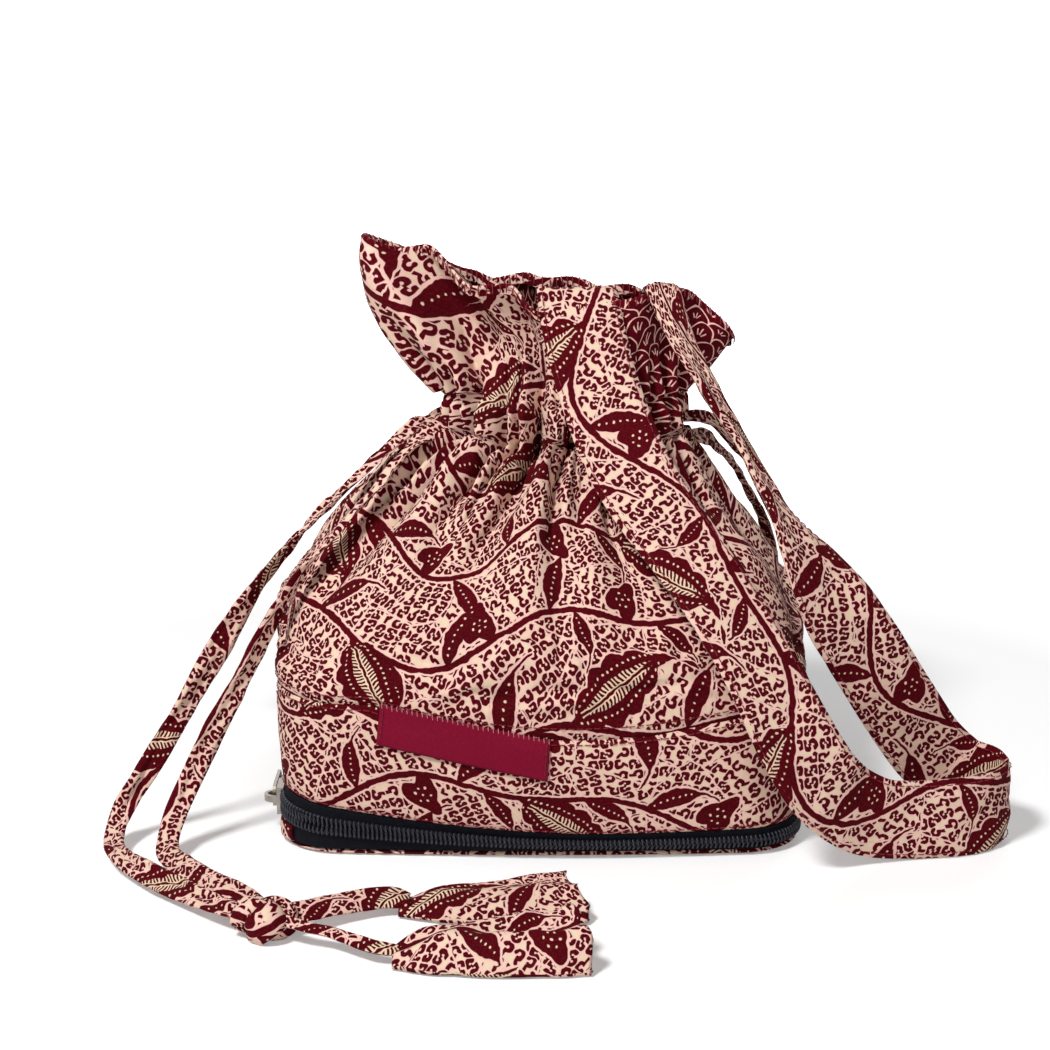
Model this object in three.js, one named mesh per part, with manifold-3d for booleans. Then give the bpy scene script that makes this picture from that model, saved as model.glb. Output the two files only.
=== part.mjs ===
// A drawstring pouch: a boxy cotton bag with a zip all round its foot, a drawn neck with a flared
// mouth, a pair of ribbons on each side of the neck, and one wide strap that hangs down in a loop.
// Millimetres, +Z up. The pouch faces -Y and stands on z = 0, with the origin under its middle.
import * as THREE from 'three';
import { mergeVertices } from 'three/addons/utils/BufferGeometryUtils.js';
import Module from 'manifold-3d';

const wasm = await Module();
wasm.setup();

// Driving dimensions
const HALF_WIDTH = 88;
const HALF_DEPTH = 76;
const BASE_THICK = 1.6;
const CLOTH = 1.2;
const TAPE_THICK = 0.8;
const COIL_THICK = 2.6;
const COIL_PROUD = 0.9;
const GAP = 0.4;
const NECK_HEIGHT = 128;
const MOUTH_HEIGHT = 176;
const RIBBON_WIDE = 9;
const RIBBON_THICK = 1.6;
const STRAP_WIDE = 27;
const STRAP_THICK = 1.6;
const KNOT_HALF = { x: 11, y: 9.5, z: 5.9 };
const END_THICK = { leftUpper: 8, leftLower: 14, right: 6 };
const LIFTED = 0.3;
const LABEL = { long: 55, tall: 13.5, slope: -11, thick: 0.5, x: -52, y: -86.2, z: 52.5 };
const SLIDER_Y = -52;

// How finely the rings round the pouch and the steps along a band are divided
const SIDE_STEPS = 6;
const CORNER_STEPS = 6;

const COLOURS = {
  batik: { color: 0xb9785f, roughness: 0.85, metalness: 0 },
  lining: { color: 0x7c2026, roughness: 0.85, metalness: 0 },
  tape: { color: 0x14141c, roughness: 0.8, metalness: 0 },
  coil: { color: 0x1b1b22, roughness: 0.35, metalness: 0 },
  label: { color: 0x7d002d, roughness: 0.5, metalness: 0 },
  nickel: { color: 0xa59e94, roughness: 0.3, metalness: 1 },
};

const pouch = new THREE.Group();

function add(name, geometry, finish) {
  const mesh = new THREE.Mesh(geometry, new THREE.MeshStandardMaterial(COLOURS[finish]));
  mesh.name = name;
  pouch.add(mesh);
  return mesh;
}

// Joins rings of points that have the same count, in order; a ring of one point is a tip.
// With closed true the last ring joins the first, otherwise each end is a tip or gets a fan.
function loft(rings, closed = false) {
  const positions = [];
  const starts = [];
  const faces = [];
  for (const ring of rings) {
    starts.push(positions.length / 3);
    for (const point of ring) positions.push(point.x, point.y, point.z);
  }
  const pairs = closed ? rings.length : rings.length - 1;
  for (let i = 0; i < pairs; i += 1) {
    const k = (i + 1) % rings.length;
    const count = Math.max(rings[i].length, rings[k].length);
    for (let j = 0; j < count; j += 1) {
      const next = (j + 1) % count;
      const a = starts[i] + (rings[i].length > 1 ? j : 0);
      const b = starts[i] + (rings[i].length > 1 ? next : 0);
      const c = starts[k] + (rings[k].length > 1 ? next : 0);
      const d = starts[k] + (rings[k].length > 1 ? j : 0);
      if (a !== b) faces.push(a, b, c);
      if (c !== d) faces.push(a, c, d);
    }
  }
  const geometry = new THREE.BufferGeometry();
  geometry.setAttribute('position', new THREE.Float32BufferAttribute(positions, 3));
  geometry.setIndex(faces);
  geometry.computeVertexNormals();
  return geometry;
}

function middleOf(ring) {
  const sum = new THREE.Vector3();
  for (const point of ring) sum.add(point);
  return sum.divideScalar(ring.length);
}

function capped(rings) {
  return loft([[middleOf(rings[0])], ...rings, [middleOf(rings.at(-1))]]);
}

// How far the cloth has slumped at x: 1 at the middle of the front and back, 0 at the sides
function slump(x) {
  const away = (x - 12) / 68;
  return 1 - Math.min(1, away * away);
}

// How high the zip is lifted at x: 1 along the left side, 0 from the middle to the right
function lift(x) {
  return Math.max(0, (20 - x) / 106) ** 1.6;
}

// One ring round the pouch, anticlockwise from the front left: a rectangle with round corners whose
// front and back are bowed outwards. A level's height is lowered by slump and raised by lift.
function ring(level, inset = 0) {
  const { z, halfX, halfY, corner, bow = 0, bowX = 0, sag = 0, raise = 0, middleX = 0 } = level;
  const a = halfX - inset;
  const b = halfY - inset;
  const r = Math.max(corner - inset, 1);
  const flatX = a - r;
  const flatY = b - r;
  const turns = [[flatX, -flatY, -1], [flatX, flatY, 0], [-flatX, flatY, 1], [-flatX, -flatY, 2]];
  const points = [];
  turns.forEach(([cx, cy, quarter], side) => {
    const [px, py] = [[-flatX, -b], [a, -flatY], [flatX, b], [-a, flatY]][side];
    const [qx, qy] = [[flatX, -b], [a, flatY], [-flatX, b], [-a, -flatY]][side];
    for (let i = 0; i < SIDE_STEPS; i += 1) {
      const t = i / SIDE_STEPS;
      points.push([px + (qx - px) * t, py + (qy - py) * t]);
    }
    for (let i = 0; i < CORNER_STEPS; i += 1) {
      const angle = (quarter + i / CORNER_STEPS) * Math.PI / 2;
      points.push([cx + r * Math.cos(angle), cy + r * Math.sin(angle)]);
    }
  });
  return points.map(([x, y]) => {
    const bowed = y + Math.sign(y) * bow * (1 - (x / a) ** 2) * Math.min(1, Math.abs(y) / b);
    const wide = x + Math.sign(x) * bowX * (1 - (y / b) ** 2) * Math.min(1, Math.abs(x) / a);
    return new THREE.Vector3(wide + middleX, bowed, z - sag * slump(x) + raise * lift(x));
  });
}

// A wall of cloth between levels: its outer skin going up and its inner skin coming down
function wall(levels, thick) {
  const outside = levels.map((level) => ring(level));
  const inside = levels.map((level) => ring(level, thick)).reverse();
  return loft([...outside, ...inside], true);
}

// A strip round the foot of the pouch, from one level's height to another's, at that level's place
function strip(low, high, thick, proud = 0) {
  const outer = -proud;
  const inner = thick - proud;
  return loft([ring(low, outer), ring(high, outer), ring(high, inner), ring(low, inner)], true);
}

const FOOT = { halfX: 86, halfY: 74, corner: 18, bow: 3.5 };

// Heights in the middle of the front, and how much higher each is along the left side
const ZIP = {
  tapeFoot: { ...FOOT, z: BASE_THICK + GAP, raise: 0 },
  chainFoot: { ...FOOT, z: 3.4, raise: 5.2, bow: 4.5 },
  chainMiddleLow: { ...FOOT, z: 5.0, raise: 6.1, bow: 6 },
  chainMiddleHigh: { ...FOOT, z: 5.3, raise: 7.3, bow: 6 },
  chainTop: { ...FOOT, z: 7.0, raise: 8.1, bow: 7.5 },
  hem: { ...FOOT, z: 8.9, raise: 9.9, bow: 8.5 },
};

function higher(level, rise) {
  return { ...level, z: level.z + rise };
}

function base() {
  const low = { ...FOOT, z: 0 };
  const high = { ...FOOT, z: BASE_THICK };
  return capped([ring(low), ring(high)]);
}

// The body from the seam over the lower band, through the shoulders and the neck, to the rim
const SEAM = { z: 53, halfX: HALF_WIDTH, halfY: HALF_DEPTH, corner: 24, bow: 8, sag: 11 };
const SHOULDERS = [
  { z: 64, halfX: HALF_WIDTH, halfY: HALF_DEPTH, corner: 28, bow: 7, sag: 6 },
  { z: 76, halfX: 86.5, halfY: 74, corner: 33, bow: 5, sag: 2 },
  { z: 88, halfX: 81, halfY: 69, corner: 38, bow: 4 },
  { z: 98, halfX: 74, halfY: 62, corner: 42, bow: 2 },
  { z: 108, halfX: 65, halfY: 53, corner: 42, bow: 1 },
  { z: 118, halfX: 54, halfY: 44, corner: 38, middleX: 2 },
  { z: 125, halfX: 45, halfY: 38, corner: 34, middleX: 5 },
];
const NECK = { z: NECK_HEIGHT + 2, halfX: 40, halfY: 34, corner: 32, middleX: 8 };
const COLLAR = { z: NECK_HEIGHT + 14, halfX: 40, halfY: 34, corner: 32, middleX: 8 };

// The rim of the mouth: high at the left tip, level along the front, lower at the right tip
function rimHeight(x) {
  const left = Math.max(0, -(x + 8) / 50) ** 1.3;
  const right = Math.max(0, (x - 44) / 20) ** 1.2;
  return MOUTH_HEIGHT + 18 * left - 16 * right;
}

// The frill between the collar and the rim, at a share of the way up
function frill(share, inset) {
  const plan = ring({
    z: 0,
    halfX: 40 + 20 * share,
    halfY: 34 - 10 * share,
    corner: 32 - 10 * share,
    middleX: 8 - 5 * share,
  }, inset);
  for (const point of plan) {
    point.z = COLLAR.z + (rimHeight(point.x) - COLLAR.z) * share;
  }
  return plan;
}

const FRILL_SHARES = [0.3, 0.65, 1];

function body() {
  const levels = [SEAM, ...SHOULDERS, NECK, COLLAR];
  const outside = [...levels.map((level) => ring(level)), ...FRILL_SHARES.map((s) => frill(s, 0))];
  const inside = [
    ...levels.map((level) => ring(level, CLOTH)),
    ...FRILL_SHARES.map((s) => frill(s, CLOTH)),
  ];
  return loft([...outside, ...inside.reverse()], true);
}

// The lining is a bag of its own inside the body, with a floor above the zipped foot. It leaves
// room at the neck for the ribbons that run round inside the casing.
const LINING_FLOOR = 21;
const LINING_EASE = CLOTH + 1;
const CASING_ROOM = 5;

function lining() {
  const low = { ...FOOT, z: LINING_FLOOR, bow: 6 };
  const levels = [{ ...SEAM, bow: 7 }, ...SHOULDERS];
  const neck = [NECK, COLLAR];
  const skin = (thick) => [
    ring(low, LINING_EASE + 1 + thick),
    ...levels.map((level) => ring(level, LINING_EASE + thick)),
    ...neck.map((level) => ring(level, CASING_ROOM + thick)),
    ...FRILL_SHARES.map((s) => frill(s * 0.97, CLOTH + GAP + (1 - s) * 3 + thick)),
  ];
  const outside = skin(0);
  const inside = skin(CLOTH);
  for (const point of inside[0]) point.z += CLOTH;
  const under = middleOf(outside[0]);
  const floor = middleOf(inside[0]);
  return loft([[under], ...outside, ...inside.reverse(), [floor]]);
}

function lowerBand() {
  const high = higher(SEAM, -GAP);
  const bulge = { z: 30, halfX: 87.5, halfY: 75.5, corner: 21, bow: 9, sag: 5 };
  return wall([higher(ZIP.hem, GAP), bulge, high], CLOTH);
}

// A closed band with a rectangular section along a route. Each stop is a point and the direction
// across the band's width there.
function band(stops, wide, thick, steps) {
  const centres = new THREE.CatmullRomCurve3(stops.map(([p]) => new THREE.Vector3(...p)));
  const acrosses = new THREE.CatmullRomCurve3(stops.map(([, w]) => new THREE.Vector3(...w)));
  const rings = [];
  for (let i = 0; i <= steps; i += 1) {
    const t = i / steps;
    const centre = centres.getPoint(t);
    const along = centres.getTangent(t);
    const across = acrosses.getPoint(t);
    across.addScaledVector(along, -across.dot(along)).normalize();
    const face = new THREE.Vector3().crossVectors(along, across);
    const corner = (u, v) => centre.clone()
      .addScaledVector(across, u * wide / 2)
      .addScaledVector(face, v * thick / 2);
    rings.push([corner(-1, -1), corner(1, -1), corner(1, 1), corner(-1, 1)]);
  }
  return capped(rings);
}

// The strap's route: out of the mouth over the front rim, down over the right shoulder, along the
// floor on its lower edge, round, and back up behind to the right of the mouth
const STRAP_ROUTE = [
  [[12, -13, 163], [1, 0, 0]],
  [[12, -16, 173], [1, 0, 0]],
  [[12, -23.5, 180], [1, 0, 0]],
  [[13, -30.5, 173], [1, 0, 0]],
  [[17, -37, 156], [1, 0, 0]],
  [[24, -47, 136], [1, 0, 0.1]],
  [[33, -57, 119], [0.9, 0.15, 0.2]],
  [[46, -71, 103], [0.8, 0.4, 0.3]],
  [[59, -83, 86], [0.7, 0.5, 0.35]],
  [[70, -91, 68], [0.6, 0.5, 0.45]],
  [[80, -95, 48], [0.5, 0.3, 0.7]],
  [[92, -93, 29], [0.3, 0.1, 0.9]],
  [[107, -85, 17], [0.1, 0, 1]],
  [[122, -80, 13.9], [0, 0, 1]],
  [[138, -77, 13.7], [0, 0, 1]],
  [[150, -70, 13.7], [0, 0, 1]],
  [[156, -59, 13.8], [0, 0, 1]],
  [[152, -48, 14.6], [0.05, 0, 1]],
  [[142, -44, 17], [0.2, 0, 1]],
  [[132, -46, 26], [0.55, 0.1, 0.8]],
  [[121, -51, 42], [0.8, 0.15, 0.55]],
  [[110, -57, 60], [0.85, 0.2, 0.45]],
  [[98, -60, 79], [0.8, 0.4, 0.4]],
  [[87, -58, 97], [0.6, 0.7, 0.3]],
  [[77, -50, 113], [0.4, 0.9, 0.2]],
  [[67, -41, 130], [0.4, 0.9, 0.1]],
  [[56, -38, 148], [0.6, 0.8, 0.1]],
  [[46, -33, 166], [0.95, 0.3, 0]],
  [[40, -24, 181], [1, 0, 0]],
  [[39.8, -17, 175], [1, 0, 0]],
  [[39.8, -14, 167], [1, 0, 0]],
];

const LEFT_KNOT = [-84, -143, 6.2];
const RIGHT_KNOT = [-14, 98, 6.2];

// The left ribbons lie over the left shoulder, stand out to the floor and meet in a knot in front
const LEFT_OUTER_ROUTE = [
  [[-37, -4, 131.5], [0, 1, 0.3]],
  [[-44, -12, 130], [0, 1, 0.3]],
  [[-58, -24, 120], [0.3, 0.9, 0.3]],
  [[-72, -34, 108], [0.5, 0.7, 0.5]],
  [[-85, -42, 95], [0.6, 0.6, 0.5]],
  [[-97, -48, 80], [0.7, 0.4, 0.5]],
  [[-108, -52, 63], [0.8, 0.3, 0.4]],
  [[-119, -55, 44], [0.8, 0.3, 0.3]],
  [[-130, -58, 26], [0.8, 0.2, 0.3]],
  [[-139, -63, 12], [0.8, 0.4, 0.3]],
  [[-141, -74, 5.5], [0.8, 0.4, 0.3]],
  [[-136, -90, 5], [0.6, 0.5, 0.5]],
  [[-124, -106, 5], [0.4, 0.6, 0.6]],
  [[-110, -121, 5], [0.4, 0.6, 0.6]],
  [[-96, -135.6, 5.8], [0.5, 0.7, 0.4]],
];
const LEFT_INNER_ROUTE = [
  [[-34, -15.5, 131], [0.1, 0.9, 0.3]],
  [[-43, -26, 127.5], [0.2, 0.9, 0.3]],
  [[-55, -36, 115.5], [0.3, 0.9, 0.3]],
  [[-68, -45, 102], [0.4, 0.7, 0.5]],
  [[-79, -53, 90], [0.5, 0.6, 0.5]],
  [[-89, -58, 75], [0.6, 0.6, 0.5]],
  [[-98, -62, 58], [0.7, 0.4, 0.4]],
  [[-107, -64, 41], [0.8, 0.3, 0.3]],
  [[-115, -67, 25], [0.8, 0.2, 0.3]],
  [[-121, -73, 12], [0.8, 0.4, 0.3]],
  [[-122, -84, 5.5], [0.8, 0.4, 0.3]],
  [[-115, -98, 5], [0.6, 0.5, 0.5]],
  [[-104, -112, 5], [0.4, 0.6, 0.6]],
  [[-95, -122.5, 5.3], [0.5, 0.6, 0.5]],
  [[-89.5, -131.6, 5.8], [0.7, 0.5, 0.4]],
];

// The right ribbons go over the right shoulder and down behind it to a knot behind the pouch
const RIGHT_OUTER_ROUTE = [
  [[53, 2, 131.5], [0, 1, 0.3]],
  [[60, 6, 129.5], [0, 1, 0.3]],
  [[69, 12, 119], [-0.3, 0.9, 0.3]],
  [[79, 20, 106], [-0.5, 0.7, 0.5]],
  [[88, 31, 91], [-0.6, 0.6, 0.5]],
  [[95, 44, 74], [-0.7, 0.4, 0.5]],
  [[98, 58, 55], [-0.6, 0.4, 0.5]],
  [[98, 73, 36], [-0.4, 0.4, 0.7]],
  [[91, 88, 18], [-0.2, 0.5, 0.8]],
  [[77, 100, 6.5], [0.1, 0.6, 0.8]],
  [[58, 108, 5], [0.1, 0.6, 0.8]],
  [[37, 109, 5], [0.1, 0.6, 0.8]],
  [[17, 105, 5], [0.1, 0.6, 0.8]],
  [[-2.2, 102, 5.8], [0.1, 0.8, 0.5]],
];
const RIGHT_INNER_ROUTE = [
  [[53, 6, 123.8], [0, 1, 0.3]],
  [[60, 16, 121], [0, 1, 0.3]],
  [[67, 27, 112], [-0.3, 0.9, 0.3]],
  [[75, 38, 99], [-0.5, 0.7, 0.5]],
  [[82, 49, 85], [-0.6, 0.6, 0.5]],
  [[87, 60, 68], [-0.6, 0.5, 0.5]],
  [[88, 71, 49], [-0.4, 0.5, 0.6]],
  [[82, 84, 28], [-0.3, 0.5, 0.7]],
  [[68, 93, 12], [0, 0.6, 0.8]],
  [[50, 97, 5.5], [0.1, 0.6, 0.8]],
  [[31, 97, 5], [0.1, 0.6, 0.8]],
  [[14, 96, 5], [0.1, 0.6, 0.8]],
  [[-2.2, 92.5, 5.8], [0.1, 0.8, 0.5]],
];

// Past the knot the two ribbons run on as tails, each with a flared end of doubled cloth
const LEFT_TAILS = {
  upper: [
    [[-72, -137.5, 6], [0, 0.9, 0.4]],
    [[-63, -131, 5.5], [0, 0.9, 0.4]],
    [[-55, -126.3, 5], [0, 0.9, 0.4]],
    [[-50, -124.5, 5], [0, 0.9, 0.4]],
    [[-45.4, -124, 5], [0, 0.9, 0.4]],
  ],
  lower: [
    [[-72, -149.5, 6], [0, 0.9, 0.4]],
    [[-63, -153, 5.5], [0, 0.9, 0.4]],
    [[-55, -158.6, 5], [0, 0.9, 0.4]],
    [[-50, -162.2, 5], [0, 0.9, 0.4]],
    [[-45.4, -163, 5], [0, 0.9, 0.4]],
  ],
};
const RIGHT_TAILS = {
  upper: [
    [[-26, 102, 7], [0, 0.9, 0.4]],
    [[-34, 105, 9], [0, 0.9, 0.4]],
    [[-42.5, 106, 9.2], [0, 0.9, 0.4]],
  ],
  lower: [
    [[-26, 92.5, 5.5], [0, 0.9, 0.4]],
    [[-34, 91, 4.6], [0, 0.9, 0.4]],
    [[-42.5, 93, 4.4], [0, 0.9, 0.4]],
  ],
};

// A flared end: a puffed lozenge of doubled cloth that widens along X from its neck to its hem.
// Each step is a share of its length, a half width and a share of its thickness.
const END_STEPS = [[0, 4.5, 0.6], [0.12, 9, 0.8], [0.45, 13.5, 1], [0.85, 15, 1], [1, 14.5, 0.95]];

// Across the end, as shares of the half width and of the thickness
const END_SECTION = [[-1, 0], [1, 0], [1, 0.55], [0.62, 1], [-0.62, 1], [-1, 0.55]];

function flaredEnd([x, y], [toX, toY], low, thick) {
  const side = Math.sign(toX - x);
  const rings = END_STEPS.map(([share, half, full]) => {
    const cx = x + (toX - x) * share;
    const cy = y + (toY - y) * share;
    return END_SECTION.map(
      ([across, up]) => new THREE.Vector3(cx, cy + side * half * across, low + thick * full * up),
    );
  });
  return capped(rings);
}

function knot([x, y, z]) {
  const geometry = new THREE.SphereGeometry(1, 12, 8);
  geometry.scale(KNOT_HALF.x, KNOT_HALF.y, KNOT_HALF.z);
  geometry.translate(x, y, z);
  return geometry;
}

// The ribbon inside the casing: a flat ring round the neck between the body and the lining
function casingRibbon(low, high) {
  const place = { ...NECK, z: low };
  const top = { ...NECK, z: high };
  return strip(place, top, 1.4, -(CLOTH + 1));
}

// The woven label hangs from the seam, over the band, and is bare
function wovenLabel() {
  const { long, tall, slope, thick, x, y, z } = LABEL;
  const sketch = new THREE.Shape();
  sketch.moveTo(0, 0);
  sketch.lineTo(long, slope);
  sketch.lineTo(long - 1, slope - tall);
  sketch.lineTo(-1.5, -tall);
  sketch.closePath();
  const geometry = new THREE.ExtrudeGeometry(sketch, { depth: thick, bevelEnabled: false });
  geometry.rotateX(Math.PI / 2);
  geometry.translate(x, y, z);
  return geometry;
}

// The slider rides on the left side, just behind the front corner. Its outer and inner plates hold
// the two rows of the chain between their flanges and are joined by a post between the rows.
const SLIDER = { long: 10, half: 4.7, plate: 1.4, flange: 0.8, post: 0.35, nose: 3.3 };
const CHAIN_Z = 11.85;
const CHAIN_OUT = -FOOT.halfX - COIL_PROUD;
const CHAIN_IN = CHAIN_OUT + COIL_THICK;
const TAPE_OUT = -FOOT.halfX;
const TAPE_IN = TAPE_OUT + TAPE_THICK;
const PLATE_OUT = CHAIN_OUT - GAP - SLIDER.plate;
const PIVOT_X = PLATE_OUT - 1.2;
const BAIL = { middle: 2.8, thick: 0.6, wide: 2.2 };
const PULL = { long: 21, wide: 7, thick: 1.1, holeFrom: 0.9, holeTo: 4.7, holeHalf: 1.8 };

function asSolid(geometry) {
  const bare = geometry.clone();
  bare.deleteAttribute('normal');
  bare.deleteAttribute('uv');
  const merged = mergeVertices(bare, 1e-4);
  return new wasm.Manifold(new wasm.Mesh({
    numProp: 3,
    vertProperties: new Float32Array(merged.attributes.position.array),
    triVerts: new Uint32Array(merged.index.array),
  }));
}

function asGeometry(solid) {
  const mesh = solid.getMesh();
  const geometry = new THREE.BufferGeometry();
  geometry.setAttribute('position', new THREE.BufferAttribute(mesh.vertProperties, 3));
  geometry.setIndex(new THREE.BufferAttribute(mesh.triVerts, 1));
  geometry.computeVertexNormals();
  return geometry;
}

function outlineShape(points) {
  const shape = new THREE.Shape();
  points.forEach(([u, v], i) => (i === 0 ? shape.moveTo(u, v) : shape.lineTo(u, v)));
  shape.closePath();
  return shape;
}

// The slider's section across the chain, as x and z, with z from the middle of the chain
function sliderSection() {
  const { half, plate, flange, post } = SLIDER;
  const outerLip = TAPE_OUT - GAP;
  const innerLip = TAPE_IN + GAP;
  const innerFace = CHAIN_IN + GAP;
  const lower = [
    [PLATE_OUT, -half], [outerLip, -half], [outerLip, -half + flange],
    [PLATE_OUT + plate, -half + flange], [PLATE_OUT + plate, -post], [innerFace, -post],
    [innerFace, -half + flange], [innerLip, -half + flange], [innerLip, -half],
    [innerFace + plate, -half],
  ];
  const upper = lower.map(([x, z]) => [x, -z]).reverse();
  return outlineShape([...lower, ...upper]);
}

function slider() {
  const body = new THREE.ExtrudeGeometry(sliderSection(), {
    depth: SLIDER.long,
    bevelEnabled: false,
  });
  body.rotateX(Math.PI / 2);
  body.translate(0, SLIDER_Y + SLIDER.long / 2, CHAIN_Z);
  const { middle, thick, wide } = BAIL;
  const arch = new THREE.Shape();
  arch.absarc(0, 0, middle + thick, Math.PI / 2, Math.PI * 1.5, false);
  arch.lineTo(1.4, -middle - thick);
  arch.lineTo(1.4, -middle + thick);
  arch.lineTo(0, -middle + thick);
  arch.absarc(0, 0, middle - thick, Math.PI * 1.5, Math.PI / 2, true);
  arch.lineTo(1.4, middle - thick);
  arch.lineTo(1.4, middle + thick);
  arch.closePath();
  const bail = new THREE.ExtrudeGeometry(arch, { depth: wide, bevelEnabled: false, curveSegments: 8 });
  bail.translate(PIVOT_X, SLIDER_Y, CHAIN_Z - wide / 2);
  return asGeometry(asSolid(body).add(asSolid(bail)));
}

// The pull tab lies back along the side; its end bar passes under the slider's bail
function pullTab() {
  const { long, wide, thick, holeFrom, holeTo, holeHalf } = PULL;
  const half = wide / 2;
  const shape = outlineShape([
    [-holeFrom, -half + 0.8], [0, -half], [holeTo + 2, -half], [long - 2, -half + 0.8],
    [long, 0], [long - 2, half - 0.8], [holeTo + 2, half], [0, half], [-holeFrom, half - 0.8],
  ]);
  const hole = new THREE.Path();
  hole.moveTo(holeFrom, -holeHalf);
  hole.lineTo(holeFrom, holeHalf);
  hole.lineTo(holeTo, holeHalf);
  hole.lineTo(holeTo, -holeHalf);
  hole.closePath();
  shape.holes.push(hole);
  const tab = new THREE.ExtrudeGeometry(shape, { depth: thick, bevelEnabled: false });
  tab.translate(0, 0, -thick / 2);
  tab.rotateZ(Math.PI / 2);
  tab.rotateY(-Math.PI / 2);
  tab.translate(PIVOT_X, SLIDER_Y, CHAIN_Z);
  return tab;
}

// A patch of cloth wraps the left front corner, over the place where the ends of the zip meet
function endTab() {
  const corner = FOOT.corner;
  const patch = new THREE.Shape();
  const [from, to] = [Math.PI * 1.02, Math.PI * 1.2];
  patch.absarc(0, 0, corner + GAP + 1, from, to, false);
  patch.absarc(0, 0, corner + GAP, to, from, true);
  patch.closePath();
  const geometry = new THREE.ExtrudeGeometry(patch, {
    depth: 5.5,
    bevelEnabled: false,
    curveSegments: 5,
  });
  geometry.translate(corner - FOOT.halfX, corner - FOOT.halfY, 1.8);
  return geometry;
}

add('base_panel', base(), 'batik');
add('lower_zip_tape', strip(ZIP.tapeFoot, higher(ZIP.chainFoot, -GAP), TAPE_THICK), 'tape');
add('lower_zip_coil', strip(ZIP.chainFoot, ZIP.chainMiddleLow, COIL_THICK, COIL_PROUD), 'coil');
add('upper_zip_coil', strip(ZIP.chainMiddleHigh, ZIP.chainTop, COIL_THICK, COIL_PROUD), 'coil');
add('upper_zip_tape', strip(higher(ZIP.chainTop, GAP), ZIP.hem, TAPE_THICK), 'tape');
add('lower_band', lowerBand(), 'batik');
add('pouch_body', body(), 'batik');
add('lining', lining(), 'lining');
add('woven_label', wovenLabel(), 'label');
add('zip_slider', slider(), 'nickel');
add('zip_pull_tab', pullTab(), 'nickel');
add('zip_end_tab', endTab(), 'batik');
add('shoulder_strap', band(STRAP_ROUTE, STRAP_WIDE, STRAP_THICK, 76), 'batik');
add('left_casing_ribbon', casingRibbon(131, 135.8), 'batik');
add('right_casing_ribbon', casingRibbon(136.2, 141), 'batik');
add('left_ribbon_outer', band(LEFT_OUTER_ROUTE, RIBBON_WIDE, RIBBON_THICK, 30), 'batik');
add('left_ribbon_inner', band(LEFT_INNER_ROUTE, RIBBON_WIDE, RIBBON_THICK, 28), 'batik');
add('left_knot', knot(LEFT_KNOT), 'batik');
add('left_tail_upper', band(LEFT_TAILS.upper, RIBBON_WIDE, RIBBON_THICK, 6), 'batik');
add('left_tail_lower', band(LEFT_TAILS.lower, RIBBON_WIDE, RIBBON_THICK, 6), 'batik');
add('left_end_upper', flaredEnd([-44.5, -124], [16, -120], LIFTED, END_THICK.leftUpper), 'batik');
add('left_end_lower', flaredEnd([-44.5, -163], [16, -158], LIFTED, END_THICK.leftLower), 'batik');
add('right_ribbon_outer', band(RIGHT_OUTER_ROUTE, RIBBON_WIDE, RIBBON_THICK, 28), 'batik');
add('right_ribbon_inner', band(RIGHT_INNER_ROUTE, RIBBON_WIDE, RIBBON_THICK, 26), 'batik');
add('right_knot', knot(RIGHT_KNOT), 'batik');
add('right_tail_upper', band(RIGHT_TAILS.upper, RIBBON_WIDE, RIBBON_THICK, 5), 'batik');
add('right_tail_lower', band(RIGHT_TAILS.lower, RIBBON_WIDE, RIBBON_THICK, 5), 'batik');
add('right_end_upper', flaredEnd([-43.5, 106], [-104, 103], END_THICK.right + 1, END_THICK.right), 'batik');
add('right_end_lower', flaredEnd([-43.5, 94], [-104, 97], LIFTED, END_THICK.right), 'batik');

export default pouch;
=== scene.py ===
"""Looks of the drawstring pouch: printed cotton, drawn up at the neck, on a zipped foot."""

import math

import bpy
import numpy as np
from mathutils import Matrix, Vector, noise


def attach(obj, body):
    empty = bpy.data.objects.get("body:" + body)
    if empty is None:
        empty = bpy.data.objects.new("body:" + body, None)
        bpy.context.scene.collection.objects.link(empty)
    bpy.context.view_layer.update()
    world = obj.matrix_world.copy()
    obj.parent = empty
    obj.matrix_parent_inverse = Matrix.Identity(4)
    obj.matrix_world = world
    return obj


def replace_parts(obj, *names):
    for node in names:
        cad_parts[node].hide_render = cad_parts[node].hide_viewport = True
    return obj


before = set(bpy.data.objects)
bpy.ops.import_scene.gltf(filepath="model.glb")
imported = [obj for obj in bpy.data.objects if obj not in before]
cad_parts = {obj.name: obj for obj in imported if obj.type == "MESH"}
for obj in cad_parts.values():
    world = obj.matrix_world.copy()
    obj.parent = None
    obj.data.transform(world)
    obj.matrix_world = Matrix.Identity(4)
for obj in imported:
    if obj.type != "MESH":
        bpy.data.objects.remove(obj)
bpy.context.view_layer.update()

MM = 0.001
TURN = 2 * math.pi

# Sizes of the pouch, in metres
STRAP_WIDE = 0.027
RIBBON_WIDE = 0.009
BAND_THICK = 0.0012
TAIL_THICK = 0.0014
COIL_PITCH = 0.0015
COIL_WIRE = 0.00034
PRINT_ROUND = 0.62

# The foot in millimetres: half its width, half its depth and its corners
FOOT_X, FOOT_Y, FOOT_CORNER = 86, 74, 18

# Points round the pouch, rows up its body and its frill, and the body row where the frill starts
BODY_COLUMNS = 420
BODY_ROWS = 100
FRILL_ROWS = 46
NECK_ROW = 94

# Camera, as it stood for the photograph
AIM = Vector((-0.0053, 0.0, 0.0932))
CAMERA_AWAY = 0.88
CAMERA_RISE = math.radians(14)
SENSOR_WIDE = 36
VIEW_WIDE = 0.35 * MM * 1050


def linked(name, data):
    """A new object in the scene."""
    made = bpy.data.objects.new(name, data)
    bpy.context.scene.collection.objects.link(made)
    return made


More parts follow.
